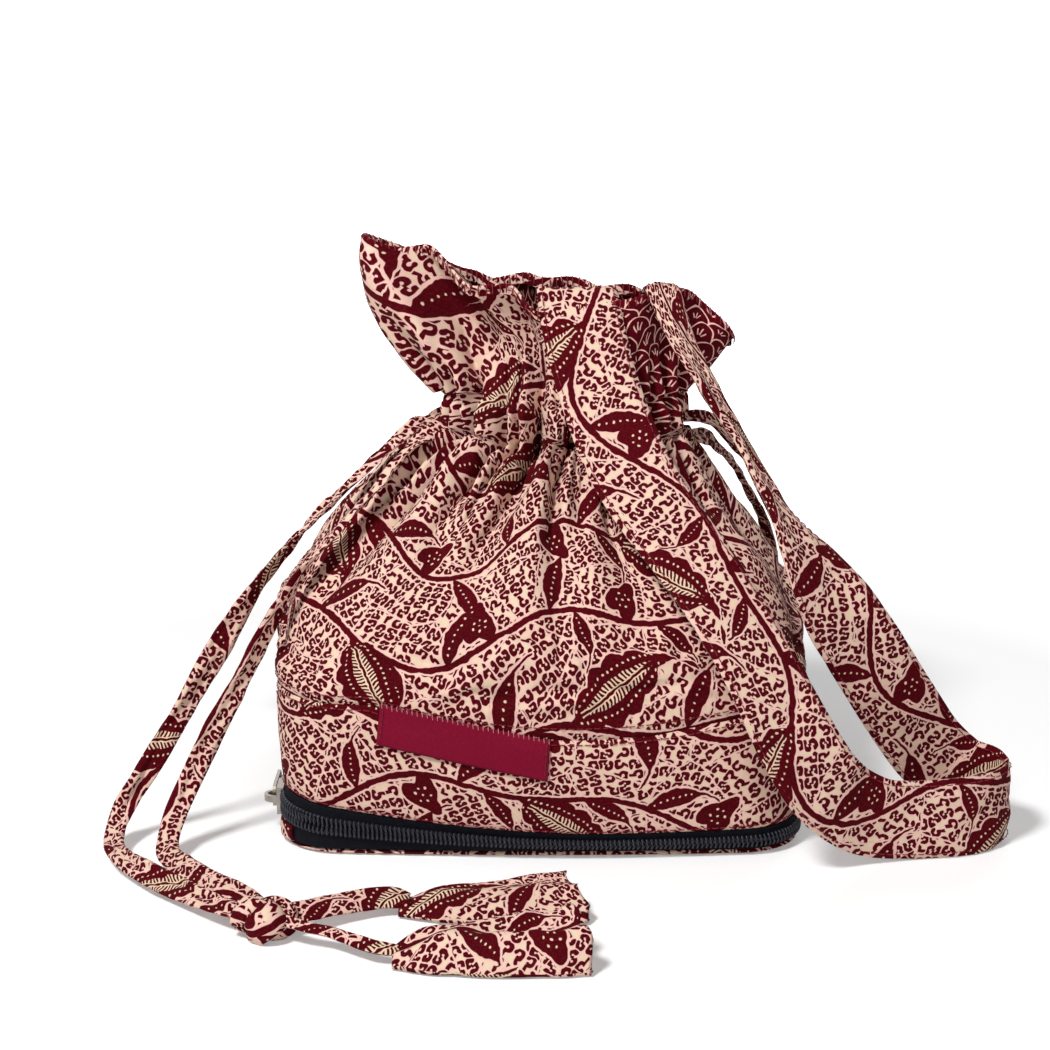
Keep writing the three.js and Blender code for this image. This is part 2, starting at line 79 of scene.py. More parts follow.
def add_camera():
    """The camera looks along +Y and a little down on the middle of the pouch."""
    data = bpy.data.cameras.new("camera")
    data.sensor_width = SENSOR_WIDE
    data.lens = SENSOR_WIDE * CAMERA_AWAY / VIEW_WIDE
    camera = linked("camera", data)
    back = Vector((0, -math.cos(CAMERA_RISE), math.sin(CAMERA_RISE)))
    camera.location = AIM + back * CAMERA_AWAY
    camera.rotation_euler = (math.pi / 2 - CAMERA_RISE, 0, 0)
    bpy.context.scene.camera = camera


# Number wires: arithmetic inside a material


class Wire:
    """A number in a material's node tree. Sums and products of wires add the nodes for them."""

    def __init__(self, tree, socket):
        self.tree = tree
        self.socket = socket

    def math(self, operation, *others):
        made = self.tree.nodes.new("ShaderNodeMath")
        made.operation = operation
        for slot, value in zip(made.inputs, (self, *others)):
            plug(self.tree, slot, value)
        return Wire(self.tree, made.outputs[0])

    def __neg__(self):
        return self * -1

    def wrapped(self, period):
        """The number less whole periods, from minus half a period to half a period."""
        return self.math("WRAP", period / 2, -period / 2)

    def inside(self, soft=0.12):
        """1 where the number is below 0, and 0 above, over a soft edge."""
        made = add_node(self.tree, "ShaderNodeClamp", {"Value": self * (-1 / soft) + 0.5})
        return Wire(self.tree, made.outputs[0])

    def pick(self, when_one, when_zero):
        return self * when_one + (-self + 1) * when_zero


def wire_step(operation):
    """A method of Wire that adds one node with this operation."""
    return lambda wire, *others: wire.math(operation, *others)


WIRE_STEPS = {
    "__add__": "ADD",
    "__sub__": "SUBTRACT",
    "__mul__": "MULTIPLY",
    "__truediv__": "DIVIDE",
    "__abs__": "ABSOLUTE",
    "low": "MINIMUM",
    "high": "MAXIMUM",
    "sine": "SINE",
    "cosine": "COSINE",
    "root": "SQRT",
    "floor": "FLOOR",
    "fraction": "FRACT",
    "over": "GREATER_THAN",
    "under": "LESS_THAN",
    "angle": "ARCTAN2",
}
for method, step in WIRE_STEPS.items():
    setattr(Wire, method, wire_step(step))


def plug(tree, slot, value):
    """Links a wire or a socket to a node's input, or sets the input to a plain value."""
    if isinstance(value, Wire):
        tree.links.new(value.socket, slot)
    elif isinstance(value, bpy.types.NodeSocket):
        tree.links.new(value, slot)
    else:
        slot.default_value = value


def add_node(tree, kind, inputs=None, **settings):
    made = tree.nodes.new(kind)
    for name, value in settings.items():
        setattr(made, name, value)
    for name, value in (inputs or {}).items():
        plug(tree, made.inputs[name], value)
    return made


def length_of(x, y):
    return (x * x + y * y).root()


def split(tree, vector, kind="ShaderNodeSeparateXYZ", name="Vector", count=2):
    """The numbers of a vector, or of a colour, as wires."""
    made = add_node(tree, kind, {name: vector})
    return [Wire(tree, made.outputs[i]) for i in range(count)]


def split_colour(tree, colour):
    return split(tree, colour, "ShaderNodeSeparateColor", "Color", 3)


def vector_math(tree, operation, *values):
    made = tree.nodes.new("ShaderNodeVectorMath")
    made.operation = operation
    for slot, value in zip(made.inputs, values):
        plug(tree, slot, value)
    return made.outputs["Value" if operation == "LENGTH" else "Vector"]


def turned(tree, vector, angle):
    inputs = {"Vector": vector, "Angle": angle}
    return add_node(tree, "ShaderNodeVectorRotate", inputs, rotation_type="Z_AXIS").outputs[0]


def mixed(tree, kind, slots, share, first, second):
    """Between two vectors or colours, nearer the second as the share goes to 1."""
    made = add_node(tree, "ShaderNodeMix", data_type=kind)
    for slot, value in zip(slots, (share, first, second)):
        plug(tree, made.inputs[slot], value)
    return made


def blend(tree, share, first, second):
    return mixed(tree, "RGBA", (0, 6, 7), share, first, second).outputs[2]


def noise_of(tree, place, scale, detail, output="Fac"):
    inputs = {"Vector": place, "Scale": scale, "Detail": detail}
    return add_node(tree, "ShaderNodeTexNoise", inputs).outputs[output]


def voronoi(tree, place, cell, uneven, feature="F1"):
    """Cells of about this size in millimetres of cloth."""
    inputs = {"Vector": place, "Scale": 1 / cell, "Randomness": uneven}
    return add_node(tree, "ShaderNodeTexVoronoi", inputs, voronoi_dimensions="2D", feature=feature).outputs


def linear(red, green, blue):
    """A colour written as screen values from 0 to 255, as the shader wants it."""

    def one(value):
        value = value / 255
        return value / 12.92 if value <= 0.04045 else ((value + 0.055) / 1.055) ** 2.4

    return (one(red), one(green), one(blue), 1)


# The print on the cloth. Its lengths are in millimetres of cloth.

TILE = (152.0, 136.0)
STEMS = 4
STEM_PITCH = TILE[1] / STEMS
STEM_WAVE = (9.0, 4.5, 1.1)
STEM_HALF = 1.02
MARK_CELL = 4.25
MARK_SQUEEZE = 0.88
MARK_UNEVEN = 0.14
MARK_ZONE = 21.0
MARK_HALF = 0.6

# Pods and buds take the place of some leaves: stem, place across, side
POD_PLACES = ((0, 16, 1), (1, 92, -1), (2, 44, -1), (3, 122, 1))
BUD_PLACES = ((0, 80, -1), (1, 34, 1), (1, 138, 1), (2, 104, 1), (2, 8, -1), (3, 50, -1))
LEAVES = 10


def stem_height(across):
    """How far a stem wanders up or down at a place across the tile, and its slope there."""
    first, second, phase = STEM_WAVE
    angle = TURN * across / TILE[0]
    rise = first * math.sin(angle) + second * math.sin(2 * angle + phase)
    slope = (first * math.cos(angle) + 2 * second * math.cos(2 * angle + phase)) * TURN / TILE[0]
    return rise, slope


def sprig(stem, across, side, spread, half_long, half_wide):
    """Where something that grows from a stem lies: its middle, its angle and its half sizes."""
    rise, slope = stem_height(across)
    angle = math.atan(slope) + side * math.radians(spread)
    reach = half_long * 1.02
    middle = (
        across + math.cos(angle) * reach,
        stem * STEM_PITCH + rise + math.sin(angle) * reach,
    )
    return middle, angle, half_long, half_wide


def sprig_places():
    """Every pod, bud and leaf of one tile."""
    pods = [sprig(stem, u, side, 30, 18.5, 9.2) for stem, u, side in POD_PLACES]
    buds = [sprig(stem, u, side, 66, 8.0, 6.4) for stem, u, side in BUD_PLACES]
    leaves = []
    for stem in range(STEMS):
        taken = [place[1] for place in POD_PLACES + BUD_PLACES if place[0] == stem]
        for i in range(LEAVES):
            across = (i + 0.35 + 0.3 * math.sin(5 * i + stem)) * TILE[0] / LEAVES
            if all(abs(place - across) >= 9 for place in taken):
                side = 1 if (i + stem) % 2 else -1
                long = 9.6 + 1.8 * math.sin(3 * i + 2 * stem)
                spread = 48 + 16 * math.sin(7 * i + stem)
                leaves.append(sprig(stem, across, side, spread, long, long * 0.33))
    return pods, buds, leaves


def nearest(tree, cloth, places):
    """The cloth's place as seen from the nearest of these sprigs, in its half sizes."""
    half_tile = (TILE[0] / 2, TILE[1] / 2, 1)
    best = None
    for (u, v), angle, half_long, half_wide in places:
        away = vector_math(tree, "SUBTRACT", cloth, (u, v, 0))
        away = vector_math(tree, "WRAP", away, half_tile, tuple(-x for x in half_tile))
        seen = turned(tree, away, -angle)
        seen = vector_math(tree, "MULTIPLY", seen, (1 / half_long, 1 / half_wide, 0))
        far = Wire(tree, vector_math(tree, "LENGTH", seen))
        if best is None:
            best, best_far = seen, far
            continue
        closer = (far - best_far).under(0)
        best = mixed(tree, "VECTOR", (0, 4, 5), closer, best, seen).outputs[1]
        best_far = best_far.low(far)
    return split(tree, best)


def mark_shape(tree, cloth):
    """The ground of small hooked marks. The cloth is parted into zones, and the marks of a zone all
    lie much the same way. Each has a cell of its own: a curled head with a straight tail, or with a
    second curl the other way."""
    zones = voronoi(tree, cloth, MARK_ZONE, 1.0)
    borders = voronoi(tree, cloth, MARK_ZONE, 1.0, "DISTANCE_TO_EDGE")
    flat = vector_math(tree, "MULTIPLY", cloth, (1, 1, 0))
    local = vector_math(tree, "SUBTRACT", flat, zones["Position"])
    local = turned(tree, local, split_colour(tree, zones["Color"])[0] * TURN)
    moved = vector_math(tree, "MULTIPLY", zones["Color"], (900, 900, 0))
    local = vector_math(tree, "ADD", local, moved)
    squeezed = vector_math(tree, "MULTIPLY", local, (1, MARK_SQUEEZE, 0))
    cells = voronoi(tree, squeezed, MARK_CELL, MARK_UNEVEN)
    edges = voronoi(tree, squeezed, MARK_CELL, MARK_UNEVEN, "DISTANCE_TO_EDGE")
    away = vector_math(tree, "SUBTRACT", squeezed, cells["Position"])
    away = vector_math(tree, "MULTIPLY", away, (1, 1 / MARK_SQUEEZE, 0))
    first, second, third = split_colour(tree, cells["Color"])
    x, y = split(tree, turned(tree, away, first * 1.1 - 0.55))
    x = x * (second.over(0.5) * 2 - 1)
    y = y * ((second * 2).fraction().over(0.5) * 2 - 1)
    curled = third.over(0.45)
    mirrored = (-y).over(0.0) * curled
    x = mirrored.pick(-x, x)
    y = mirrored.pick(-y, y)
    radius = curled.pick(0.94, 1.16)
    head = curled.pick(0.94, 0.8)
    wide = x / curled.pick(1.24, 1.08)
    ring = abs(length_of(wide, y - head) - radius)
    opened = (wide + 0.3).high(y - head - 0.35).inside(0.05) * 3
    tail = length_of(x + (y + 0.36) * 0.25, (abs(y + 1.15) - 0.8).high(0))
    bulb = length_of(wide + radius * 0.93, y - head - 0.4) - 0.14
    stroke = (ring + opened).low(bulb).low(tail + curled * 9) - MARK_HALF
    gap = Wire(tree, edges["Distance"]) * -MARK_CELL + 0.14
    border = Wire(tree, borders["Distance"]) * -MARK_ZONE + 0.3
    return stroke.high(gap).high(border)


def stem_shape(u, v):
    first, second, phase = STEM_WAVE
    turn = TURN / TILE[0]
    angle = u * turn
    twice = u * (2 * turn) + phase
    rise = angle.sine() * first + twice.sine() * second
    slope = angle.cosine() * (first * turn) + twice.cosine() * (2 * second * turn)
    away = abs((v - rise).wrapped(STEM_PITCH))
    return away / (slope * slope + 1).root() - STEM_HALF


def leaf_shape(x, y):
    """A pointed leaf, bent along its length, with a tip drawn out into a curl, and the row of dots
    on its midrib."""
    past = (x - 0.7).high(0)
    bent = y + (x * x) * 0.35 - 0.12 + past * past * 1.9
    blade = (-(x * x) + 1).high(-3)
    curl = (-abs(x - 1.0) * 4 + 1.9).low(0.15)
    edge = (abs(bent) - blade.high(curl)) * 2.8
    dots = length_of((x * 10).wrapped(2.1), bent * 3) - 0.33
    return edge, dots.high((abs(x) - 0.66) * 10)


def pod_shape(x, y):
    """A large scalloped pod with combed veins along its midrib and a row of dots round them."""
    scallops = abs((x * 7.6 + 0.4).sine()) * 0.2
    past = (x - 0.7).high(0)
    bent = y + past * past * 2.2
    curl = (-abs(x - 1.0) * 4 + 1.6).low(0.1)
    edge = (abs(bent) - (-(x * x) + 1.0).high(-3).high(curl) - scallops + 0.14) * 8.0
    across = abs(y) * 8.6
    reach = (-(x * x) * 1.6 + 1).high(0) * 3.1
    combs = abs((x * 18.5 + abs(y) * 4).wrapped(1.35)) - 0.3
    combs = combs.high(across - reach).high((abs(x) - 0.74) * 18).high(-across + 0.6)
    rib = (abs(across - 0.62) - 0.2).high((abs(x + 0.1) - 0.66) * 18)
    row = across - (-(x * x) * 1.05 + 1).high(-1) * 5.3
    dots = (length_of((x * 18.5).wrapped(1.9), row) - 0.36).high((abs(x) - 0.86) * 18)
    return edge, combs.low(rib).low(dots)


def bud_shape(x, y):
    """A lobed bud with a cluster of seven dots."""
    angle = y.angle(x)
    lobes = (angle * 3).cosine() * 0.2 + (angle * 5).cosine() * 0.06
    edge = (length_of(x, y) - 0.84 - lobes) * 6
    folded = angle.wrapped(TURN / 6)
    far = length_of(x * 7, y * 5.6)
    around = length_of(folded.cosine() * far - 2.2, folded.sine() * far)
    return edge, around.low(far) - 0.36


def swayed(tree, cloth, scale, far):
    """The cloth's places, led a little astray, so that the print looks drawn by hand."""
    sway = vector_math(tree, "SUBTRACT", noise_of(tree, cloth, scale, 1.0, "Color"), (0.5, 0.5, 0.5))
    sway = vector_math(tree, "MULTIPLY", sway, (far, far, 0))
    return vector_math(tree, "ADD", cloth, sway)


def batik_ink(tree, cloth):
    """1 where the first print is dark and 0 where its ground shows; and 1 close to the ink, where
    its dye has bled into the ground."""
    cloth = swayed(tree, cloth, 0.35, 1.3)
    pods, buds, leaves = sprig_places()
    leaf, leaf_dots = leaf_shape(*nearest(tree, cloth, leaves))
    pod, pod_marks = pod_shape(*nearest(tree, cloth, pods))
    bud, bud_dots = bud_shape(*nearest(tree, cloth, buds))
    figure = stem_shape(*split(tree, cloth)).low(leaf).low(pod).low(bud)
    ground = mark_shape(tree, cloth).high(-figure + 0.75)
    drawn = figure.low(ground)
    off_pod = (-pod).over(0) * 9
    pale = pod_marks + pod.over(0) * 9
    pale = pale.low(leaf_dots + leaf.over(0) * 9 + off_pod)
    pale = pale.low(bud_dots + bud.over(0) * 9 + off_pod)
    kept = -pale.inside() + 1
    return drawn.inside() * kept, (drawn - 0.4).inside(0.8) * kept * 0.85


SCALE_WIDE = 11.4
SCALE_TALL = 5.7


def scales_ink(tree, cloth):
    """1 where the second print is dark: rows of scales with pale outlines and three strokes each."""
    u, v = split(tree, swayed(tree, cloth, 0.08, 9))
    row = (v / SCALE_TALL).floor()
    radius = SCALE_WIDE * 0.53
    lines = None
    for step in range(3):
        this = row - step
        x = (u + (this * 0.5).fraction() * SCALE_WIDE).wrapped(SCALE_WIDE)
        y = v - this * SCALE_TALL
        far = length_of(x, y)
        rim = abs(far - radius + 0.3) - 0.34
        angle = y.angle(x) - TURN / 4
        strokes = abs(angle.wrapped(0.62).sine() * far) - 0.26
        strokes = strokes.high(abs(far - 2.3) - 1.15).high(abs(angle) - 0.95)
        shown = rim.low(strokes)
        within = (far - radius).under(0)
        if lines is None:
            lines = within.pick(shown, 9.0)
            covered = within
        else:
            fresh = within * (-covered + 1)
            lines = fresh.pick(shown, lines)
            covered = covered.high(within)
    return -lines.inside() + 1, (-lines - 0.3).inside(0.6)


# Materials


def new_material(name):
    material = bpy.data.materials.new(name)
    material.use_nodes = True
    return material, material.node_tree


def set_shader(tree, inputs):
    for name, value in inputs.items():
        plug(tree, tree.nodes["Principled BSDF"].inputs[name], value)


def relief(tree, height, strength, depth):
    inputs = {"Strength": strength, "Distance": depth, "Height": height}
    return add_node(tree, "ShaderNodeBump", inputs).outputs[0]


def cloth_place(tree):
    """The place on the cloth, in millimetres, and its two numbers."""
    place = add_node(tree, "ShaderNodeUVMap", uv_map="cloth")
    cloth = vector_math(tree, "MULTIPLY", place.outputs[0], (1000, 1000, 0))
    return cloth, *split(tree, cloth)


def cloth_material(name, dark, ground, ink_of):
    """Printed cotton: ink on a pale ground, worn thin in flecks, a fine weave, slubs and a soft
    sheen. dark and ground are two shades each."""
    worn = 0.05
    thread = TURN / 0.42
    material, tree = new_material(name)
    cloth, u, v = cloth_place(tree)
    ink, bled = ink_of(tree, cloth)
    ground_shade = blend(tree, bled, linear(*ground[0]), linear(*ground[1]))
    mottled = noise_of(tree, cloth, 0.05, 4.0)
    ink_shade = blend(tree, mottled, linear(*dark[1]), linear(*dark[0]))
    thin = Wire(tree, noise_of(tree, cloth, 1.4, 3.0)) * -worn + 1 + worn * 0.42
    weave = (u * thread).sine() * (v * thread).sine() * 0.4
    height = weave + Wire(tree, noise_of(tree, cloth, 0.6, 3.0)) * 1.6
    inputs = {
        "Base Color": blend(tree, ink * thin.low(1.0), ground_shade, ink_shade),
        "Roughness": 0.82,
        "Sheen Weight": 0.01,
        "Sheen Roughness": 0.45,
        "Specular IOR Level": 0.04,
        "Normal": relief(tree, height, 0.35, 0.0002),
    }
    set_shader(tree, inputs)
    return material


def tape_material():
    """Black zip tape: close twill."""
    material, tree = new_material("zip_tape")
    cloth, u, v = cloth_place(tree)
    ribs = ((u + v * 0.8) * (TURN / 0.55)).sine() * 0.5 + 0.5
    tone = ribs * 0.35 + Wire(tree, noise_of(tree, cloth, 0.4, 5.0)) * 0.65
    inputs = {
        "Base Color": blend(tree, tone, linear(4, 4, 8), linear(26, 27, 35)),
        "Roughness": 0.8,
        "Specular IOR Level": 0.08,
        "Normal": relief(tree, ribs, 0.5, 0.0002),
    }
    set_shader(tree, inputs)
    return material


def plain_material(name, pale, deep, roughness, scale, metallic=0.0):
    """A material with a fine mottled tone and relief: metal, thread or plastic."""
    material, tree = new_material(name)
    place = add_node(tree, "ShaderNodeTexCoord").outputs["Object"]
    grain = noise_of(tree, place, scale, 5.0)
    inputs = {
        "Base Color": blend(tree, grain, linear(*deep), linear(*pale)),
        "Roughness": Wire(tree, grain) * 0.3 + (roughness - 0.15),
        "Metallic": metallic,
        "Normal": relief(tree, grain, 0.4, 0.00005),
    }
    set_shader(tree, inputs)
    return material


def satin_material():
    """Crimson satin for the label, with fine cross threads."""
    material, tree = new_material("label_satin")
    cloth, u, v = cloth_place(tree)
    threads = (u * (TURN / 0.4)).sine() * 0.3 + (v * (TURN / 0.33)).sine() * 0.7
    tone = threads * 0.22 + Wire(tree, noise_of(tree, cloth, 1.2, 4.0))
    inputs = {
        "Base Color": blend(tree, tone, linear(98, 0, 24), linear(146, 2, 52)),
        "Roughness": 0.5,
        "Specular IOR Level": 0.12,
        "Sheen Weight": 0.02,
        "Normal": relief(tree, threads, 0.35, 0.00012),
    }
    set_shader(tree, inputs)
    return material


BATIK = cloth_material(
    "batik_cotton",
    dark=((92, 0, 15), (62, 0, 7)),
    ground=((231, 206, 177), (240, 184, 181)),
    ink_of=batik_ink,
)
SCALES = cloth_material(
    "lining_cotton",
    dark=((98, 0, 20), (66, 0, 9)),
    ground=((242, 214, 186), (250, 190, 182)),
    ink_of=scales_ink,
)
TAPE = tape_material()
COIL = plain_material("zip_coil", (54, 56, 69), (20, 20, 28), 0.38, 900)
SATIN = satin_material()
NICKEL = plain_material("nickel", (205, 198, 188), (150, 142, 132), 0.3, 700, metallic=1.0)
THREAD = plain_material("thread", (146, 20, 42), (104, 8, 24), 0.85, 2500)
PINK_THREAD = plain_material("pink_thread", (222, 150, 150), (180, 90, 100), 0.8, 2500)


# Points and meshes


def along(points):
    """Length along a line of points, at each of them."""
    steps = np.linalg.norm(np.diff(points, axis=0), axis=1)
    return np.concatenate([[0], np.cumsum(steps)])


def between(wanted, reach, points):
    """The points at these lengths along a line."""
    return np.stack([np.interp(wanted, reach, points[:, i]) for i in range(3)], axis=-1)


def unit(vectors):
    """The vectors, made one long."""
    return vectors / np.maximum(np.linalg.norm(vectors, axis=-1, keepdims=True), 1e-12)


def closed(points):
    return np.vstack([points, points[:1]])


def ruffle_noise(x, y, z):
    return noise.noise(Vector((x, y, z)))


def placed(name, mesh, material):
    """Puts a mesh in the scene, riding on the pouch. Nothing goes below the floor."""
    for vertex in mesh.vertices:
        vertex.co.z = max(vertex.co.z, 0)
    mesh.polygons.foreach_set("use_smooth", [True] * len(mesh.polygons))
    mesh.update()
    mesh.materials.append(material)
    piece = linked(name, mesh)
    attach(piece, "pouch")
    return piece


def grid_object(name, points, cloth, material=None, wraps=True):
    """A smooth mesh from rows of points. cloth gives each point's place on the print, with one
    column more than points where the rows close on themselves."""
    rows, columns, _ = points.shape
    faces = []
    corners = []
    for r in range(rows - 1):
        for c in range(columns if wraps else columns - 1):
            this = r * columns
            above = this + columns
            d = (c + 1) % columns
            faces.append((this + c, this + d, above + d, above + c))
            corners.extend(((r, c), (r, c + 1), (r + 1, c + 1), (r + 1, c)))
    mesh = bpy.data.meshes.new(name)
    mesh.from_pydata(points.reshape(-1, 3).tolist(), [], faces)
    layer = mesh.uv_layers.new(name="cloth")
    index = np.array(corners)
    layer.data.foreach_set("uv", cloth[index[:, 0], index[:, 1]].astype(np.float32).ravel())
    return placed(name, mesh, material or BATIK)


def tubes_object(name, tubes, material):
    """One mesh of many open tubes, each of them rings of points."""
    verts = []
    faces = []
    for tube in tubes:
        rings, sides, _ = tube.shape
        for k in range(rings - 1):
            row = len(verts) + k * sides
            for a in range(sides):
                b = (a + 1) % sides
                faces.append((row + a, row + b, row + sides + b, row + sides + a))
        verts.extend(tube.reshape(-1, 3).tolist())
    mesh = bpy.data.meshes.new(name)
    mesh.from_pydata(verts, [], faces)
    return placed(name, mesh, material)


def tube_rings(line, first, second, radius, sides):
    """Rings of points round a line, from two directions across it at each of its points."""
    angles = np.arange(sides) / sides * TURN
    around = first[:, None] * np.cos(angles)[:, None] + second[:, None] * np.sin(angles)[:, None]
    return line[:, None] + around * radius


def threads_object(name, lines, radius, material):
    """Short lengths of thread, each a tube along its own few points."""
    tubes = []
    for line in lines:
        way = unit(np.gradient(line, axis=0))
        first = unit(np.cross(way, (0.31, 0.17, 0.05)))
        tubes.append(tube_rings(line, first, np.cross(way, first), radius, 4))
    return tubes_object(name, tubes, material)


def stitch_rows(name, lines, pitch=0.0028):
    """Rows of short sewn stitches. Each line is a list of points and of directions out of the
    cloth; a stitch stands a little proud and dips at both ends."""
    thick = 0.00018
    angles = np.arange(5) / 5 * TURN
    tubes = []
    for points, out in lines:
        reach = along(points)
        for start in np.arange(pitch * 0.3, reach[-1] - pitch, pitch):
            stops = start + pitch * np.array([0, 0.36, 0.72])
            row = between(stops, reach, points)
            up = unit(between(stops, reach, out))
            side = np.cross(unit(row[2] - row[0]), up[1])
            rings = []
            for k, rise in enumerate((-0.6, 0.9, -0.6)):
                around = np.outer(np.cos(angles), side) + np.outer(np.sin(angles) + rise, up[k])
                rings.append(row[k] + around * thick)
            tubes.append(np.array(rings))
    return tubes_object(name, tubes, THREAD)


def hermite(f, low, high, low_slope, high_slope):
    """A cubic between two values with these slopes at its ends, at a share f of the way."""
    return (
        low * (2 * f**3 - 3 * f**2 + 1)
        + low_slope * (f**3 - 2 * f**2 + f)
        + high * (3 * f**2 - 2 * f**3)
        + high_slope * (f**3 - f**2)
    )


def catmull(stops, count):
    """A smooth curve through stops, with its knots spaced as the square root of each step."""
    stops = np.array(stops, float)
    ends = np.vstack([2 * stops[0] - stops[1], stops, 2 * stops[-1] - stops[-2]])
    out = []
    segments = len(stops) - 1
    for t in np.linspace(0, segments, count):
        i = min(int(t), segments - 1)
        p0, p1, p2, p3 = ends[i : i + 4]
        k1, k2, k3 = (max(np.linalg.norm(step), 1e-6) ** 0.5 for step in (p1 - p0, p2 - p1, p3 - p2))
        m1 = ((p1 - p0) / k1 - (p2 - p0) / (k1 + k2) + (p2 - p1) / k2) * k2
        m2 = ((p2 - p1) / k2 - (p3 - p1) / (k2 + k3) + (p3 - p2) / k3) * k2
        out.append(hermite(t - i, p1, p2, m1, m2))
    return np.array(out)


# Ribbons and the strap: flat bands of doubled cloth


def band_frame(stops):
    """At every 1.6 mm of a band: the length, the middle, the directions across and out of the band,
    and how many stops have passed."""
    fine = 400
    centres = catmull([point for point, _ in stops], fine) * MM
    acrosses = catmull([across for _, across in stops], fine)
    reach = along(centres)
    wanted = np.linspace(0, reach[-1], max(8, int(reach[-1] / 0.0016)))
    middle = between(wanted, reach, centres)
    direction = unit(np.gradient(middle, axis=0))
    across = between(wanted, reach, acrosses)
    across = unit(across - direction * np.sum(across * direction, axis=1)[:, None])
    stop = np.interp(wanted, reach, np.linspace(0, len(stops) - 1, fine))
    return wanted, middle, across, np.cross(direction, across), stop


def shut(ring):
    """A ring drawn together at its middle."""
    return np.repeat(ring.mean(axis=1, keepdims=True), ring.shape[1], axis=1)


def band_object(name, stops, wide, thick, seed, crumple, print_at, narrow=0.0, folded=((0, 1),)):
    """A band of doubled cloth along a route, crumpled, with folded edges. A narrow one has a crease
    down its length here and there. folded gives the share of its width that shows at some of its
    stops. Returns the piece and its frame."""
    reach, middle, across, face, stop = band_frame(stops)
    shown = np.interp(stop, *zip(*folded))
    rows = []
    cloth = []
    for i, s in enumerate(reach):
        half = wide / 2 * shown[i] * (1 - narrow * (0.5 + 0.5 * ruffle_noise(s * 45, seed, 1.7)))
        deep = thick / 2 * (1 + 1.6 * (1 - shown[i]))
        crease = 0.0034 * narrow * (ruffle_noise(s * 38, seed + 4, 0.3) + 0.35)
        fold_at = 0.5 * ruffle_noise(s * 22, seed + 6, 2.1)
        faces = ([], [])
        marks = ([], [])
        for side in np.linspace(-1, 1, 13):
            lift = crumple * ruffle_noise(s * 55, side * 1.6, seed)
            lift += crumple * 0.5 * ruffle_noise(s * 160, side * 3.0, seed + 9)
            lift -= crease * math.exp(-(((side - fold_at) / 0.3) ** 2))
            puff = deep * (1 - side**8) + 0.0001
            for k, high in enumerate((lift + puff, lift - puff)):
                faces[k].append(middle[i] + across[i] * side * half + face[i] * high)
                marks[k].append((s + print_at[0], side * wide / 2 + print_at[1] + wide * k))
        rows.append(faces[0] + faces[1][::-1])
        cloth.append(marks[0] + marks[1][::-1] + marks[0][:1])
    points = np.array(rows)
    points = np.concatenate([shut(points[:1]), points, shut(points[-1:])])
    cloth = np.array([cloth[0], *cloth, cloth[-1]])
    return grid_object(name, points, cloth), (reach, middle, across, face, shown)


# Routes of the bands: a place in millimetres, and the way across the band there

STRAP_ROUTE = (
    ((12, -13, 163), (1, 0, 0)),
    ((12, -16, 173), (1, 0, 0)),
    ((12, -23.5, 180), (1, 0, 0)),
    ((13, -30.5, 173), (1, 0, 0)),
    ((17, -37, 156), (1, 0, 0)),
    ((24, -47, 136), (1, 0, 0.1)),
    ((33, -57, 119), (0.9, 0.15, 0.2)),
    ((46, -71, 103), (0.8, 0.4, 0.3)),
    ((59, -83, 86), (0.7, 0.5, 0.35)),
    ((70, -91, 68), (0.6, 0.5, 0.45)),
    ((80, -95, 48), (0.5, 0.3, 0.7)),
    ((92, -93, 29), (0.3, 0.1, 0.9)),
    ((107, -85, 17), (0.1, 0, 1)),
    ((122, -80, 13.9), (0, 0, 1)),
    ((138, -77, 13.7), (0, 0, 1)),
    ((150, -70, 13.7), (0, 0, 1)),
    ((156, -59, 13.8), (0, 0, 1)),
    ((152, -48, 14.6), (0.05, 0, 1)),
    ((142, -44, 17), (0.2, 0, 1)),
    ((132, -46, 26), (0.55, 0.1, 0.8)),
    ((121, -51, 42), (0.8, 0.15, 0.55)),
    ((110, -57, 60), (0.85, 0.2, 0.45)),
    ((98, -60, 79), (0.8, 0.4, 0.4)),
    ((87, -58, 97), (0.6, 0.7, 0.3)),
    ((77, -50, 113), (0.4, 0.9, 0.2)),
    ((67, -41, 130), (0.4, 0.9, 0.1)),
    ((56, -38, 148), (0.6, 0.8, 0.1)),
    ((46, -33, 166), (0.95, 0.3, 0)),
    ((40, -24, 181), (1, 0, 0)),
    ((39.8, -17, 175), (1, 0, 0)),
    ((39.8, -14, 167), (1, 0, 0)),
)

# The strap is folded along its length where it goes back up to the mouth: stop, share that shows
STRAP_FOLDED = ((0, 1), (22, 1), (23, 0.85), (24, 0.36), (25, 0.28), (26, 0.3), (28, 0.42), (30, 0.5))

LEFT_OUTER_ROUTE = (
    ((-29, -2, 131.8), (0, 1, 0.3)),
    ((-37, -4, 131.5), (0, 1, 0.3)),
    ((-44, -12, 130), (0, 1, 0.3)),
    ((-58, -24, 120), (0.3, 0.9, 0.3)),
    ((-72, -34, 108), (0.5, 0.7, 0.5)),
    ((-85, -42, 95), (0.6, 0.6, 0.5)),
    ((-97, -48, 80), (0.7, 0.4, 0.5)),
    ((-108, -52, 63), (0.8, 0.3, 0.4)),
    ((-119, -55, 44), (0.8, 0.3, 0.3)),
    ((-130, -58, 26), (0.8, 0.2, 0.3)),
    ((-139, -63, 12), (0.8, 0.4, 0.3)),
    ((-141, -74, 5.5), (0.8, 0.4, 0.3)),
    ((-136, -90, 5), (0.6, 0.5, 0.5)),
    ((-124, -106, 5), (0.4, 0.6, 0.6)),
    ((-110, -121, 5), (0.4, 0.6, 0.6)),
    ((-96, -135.6, 5.8), (0.5, 0.7, 0.4)),
    ((-88.5, -140.5, 6.2), (0.5, 0.7, 0.4)),
)
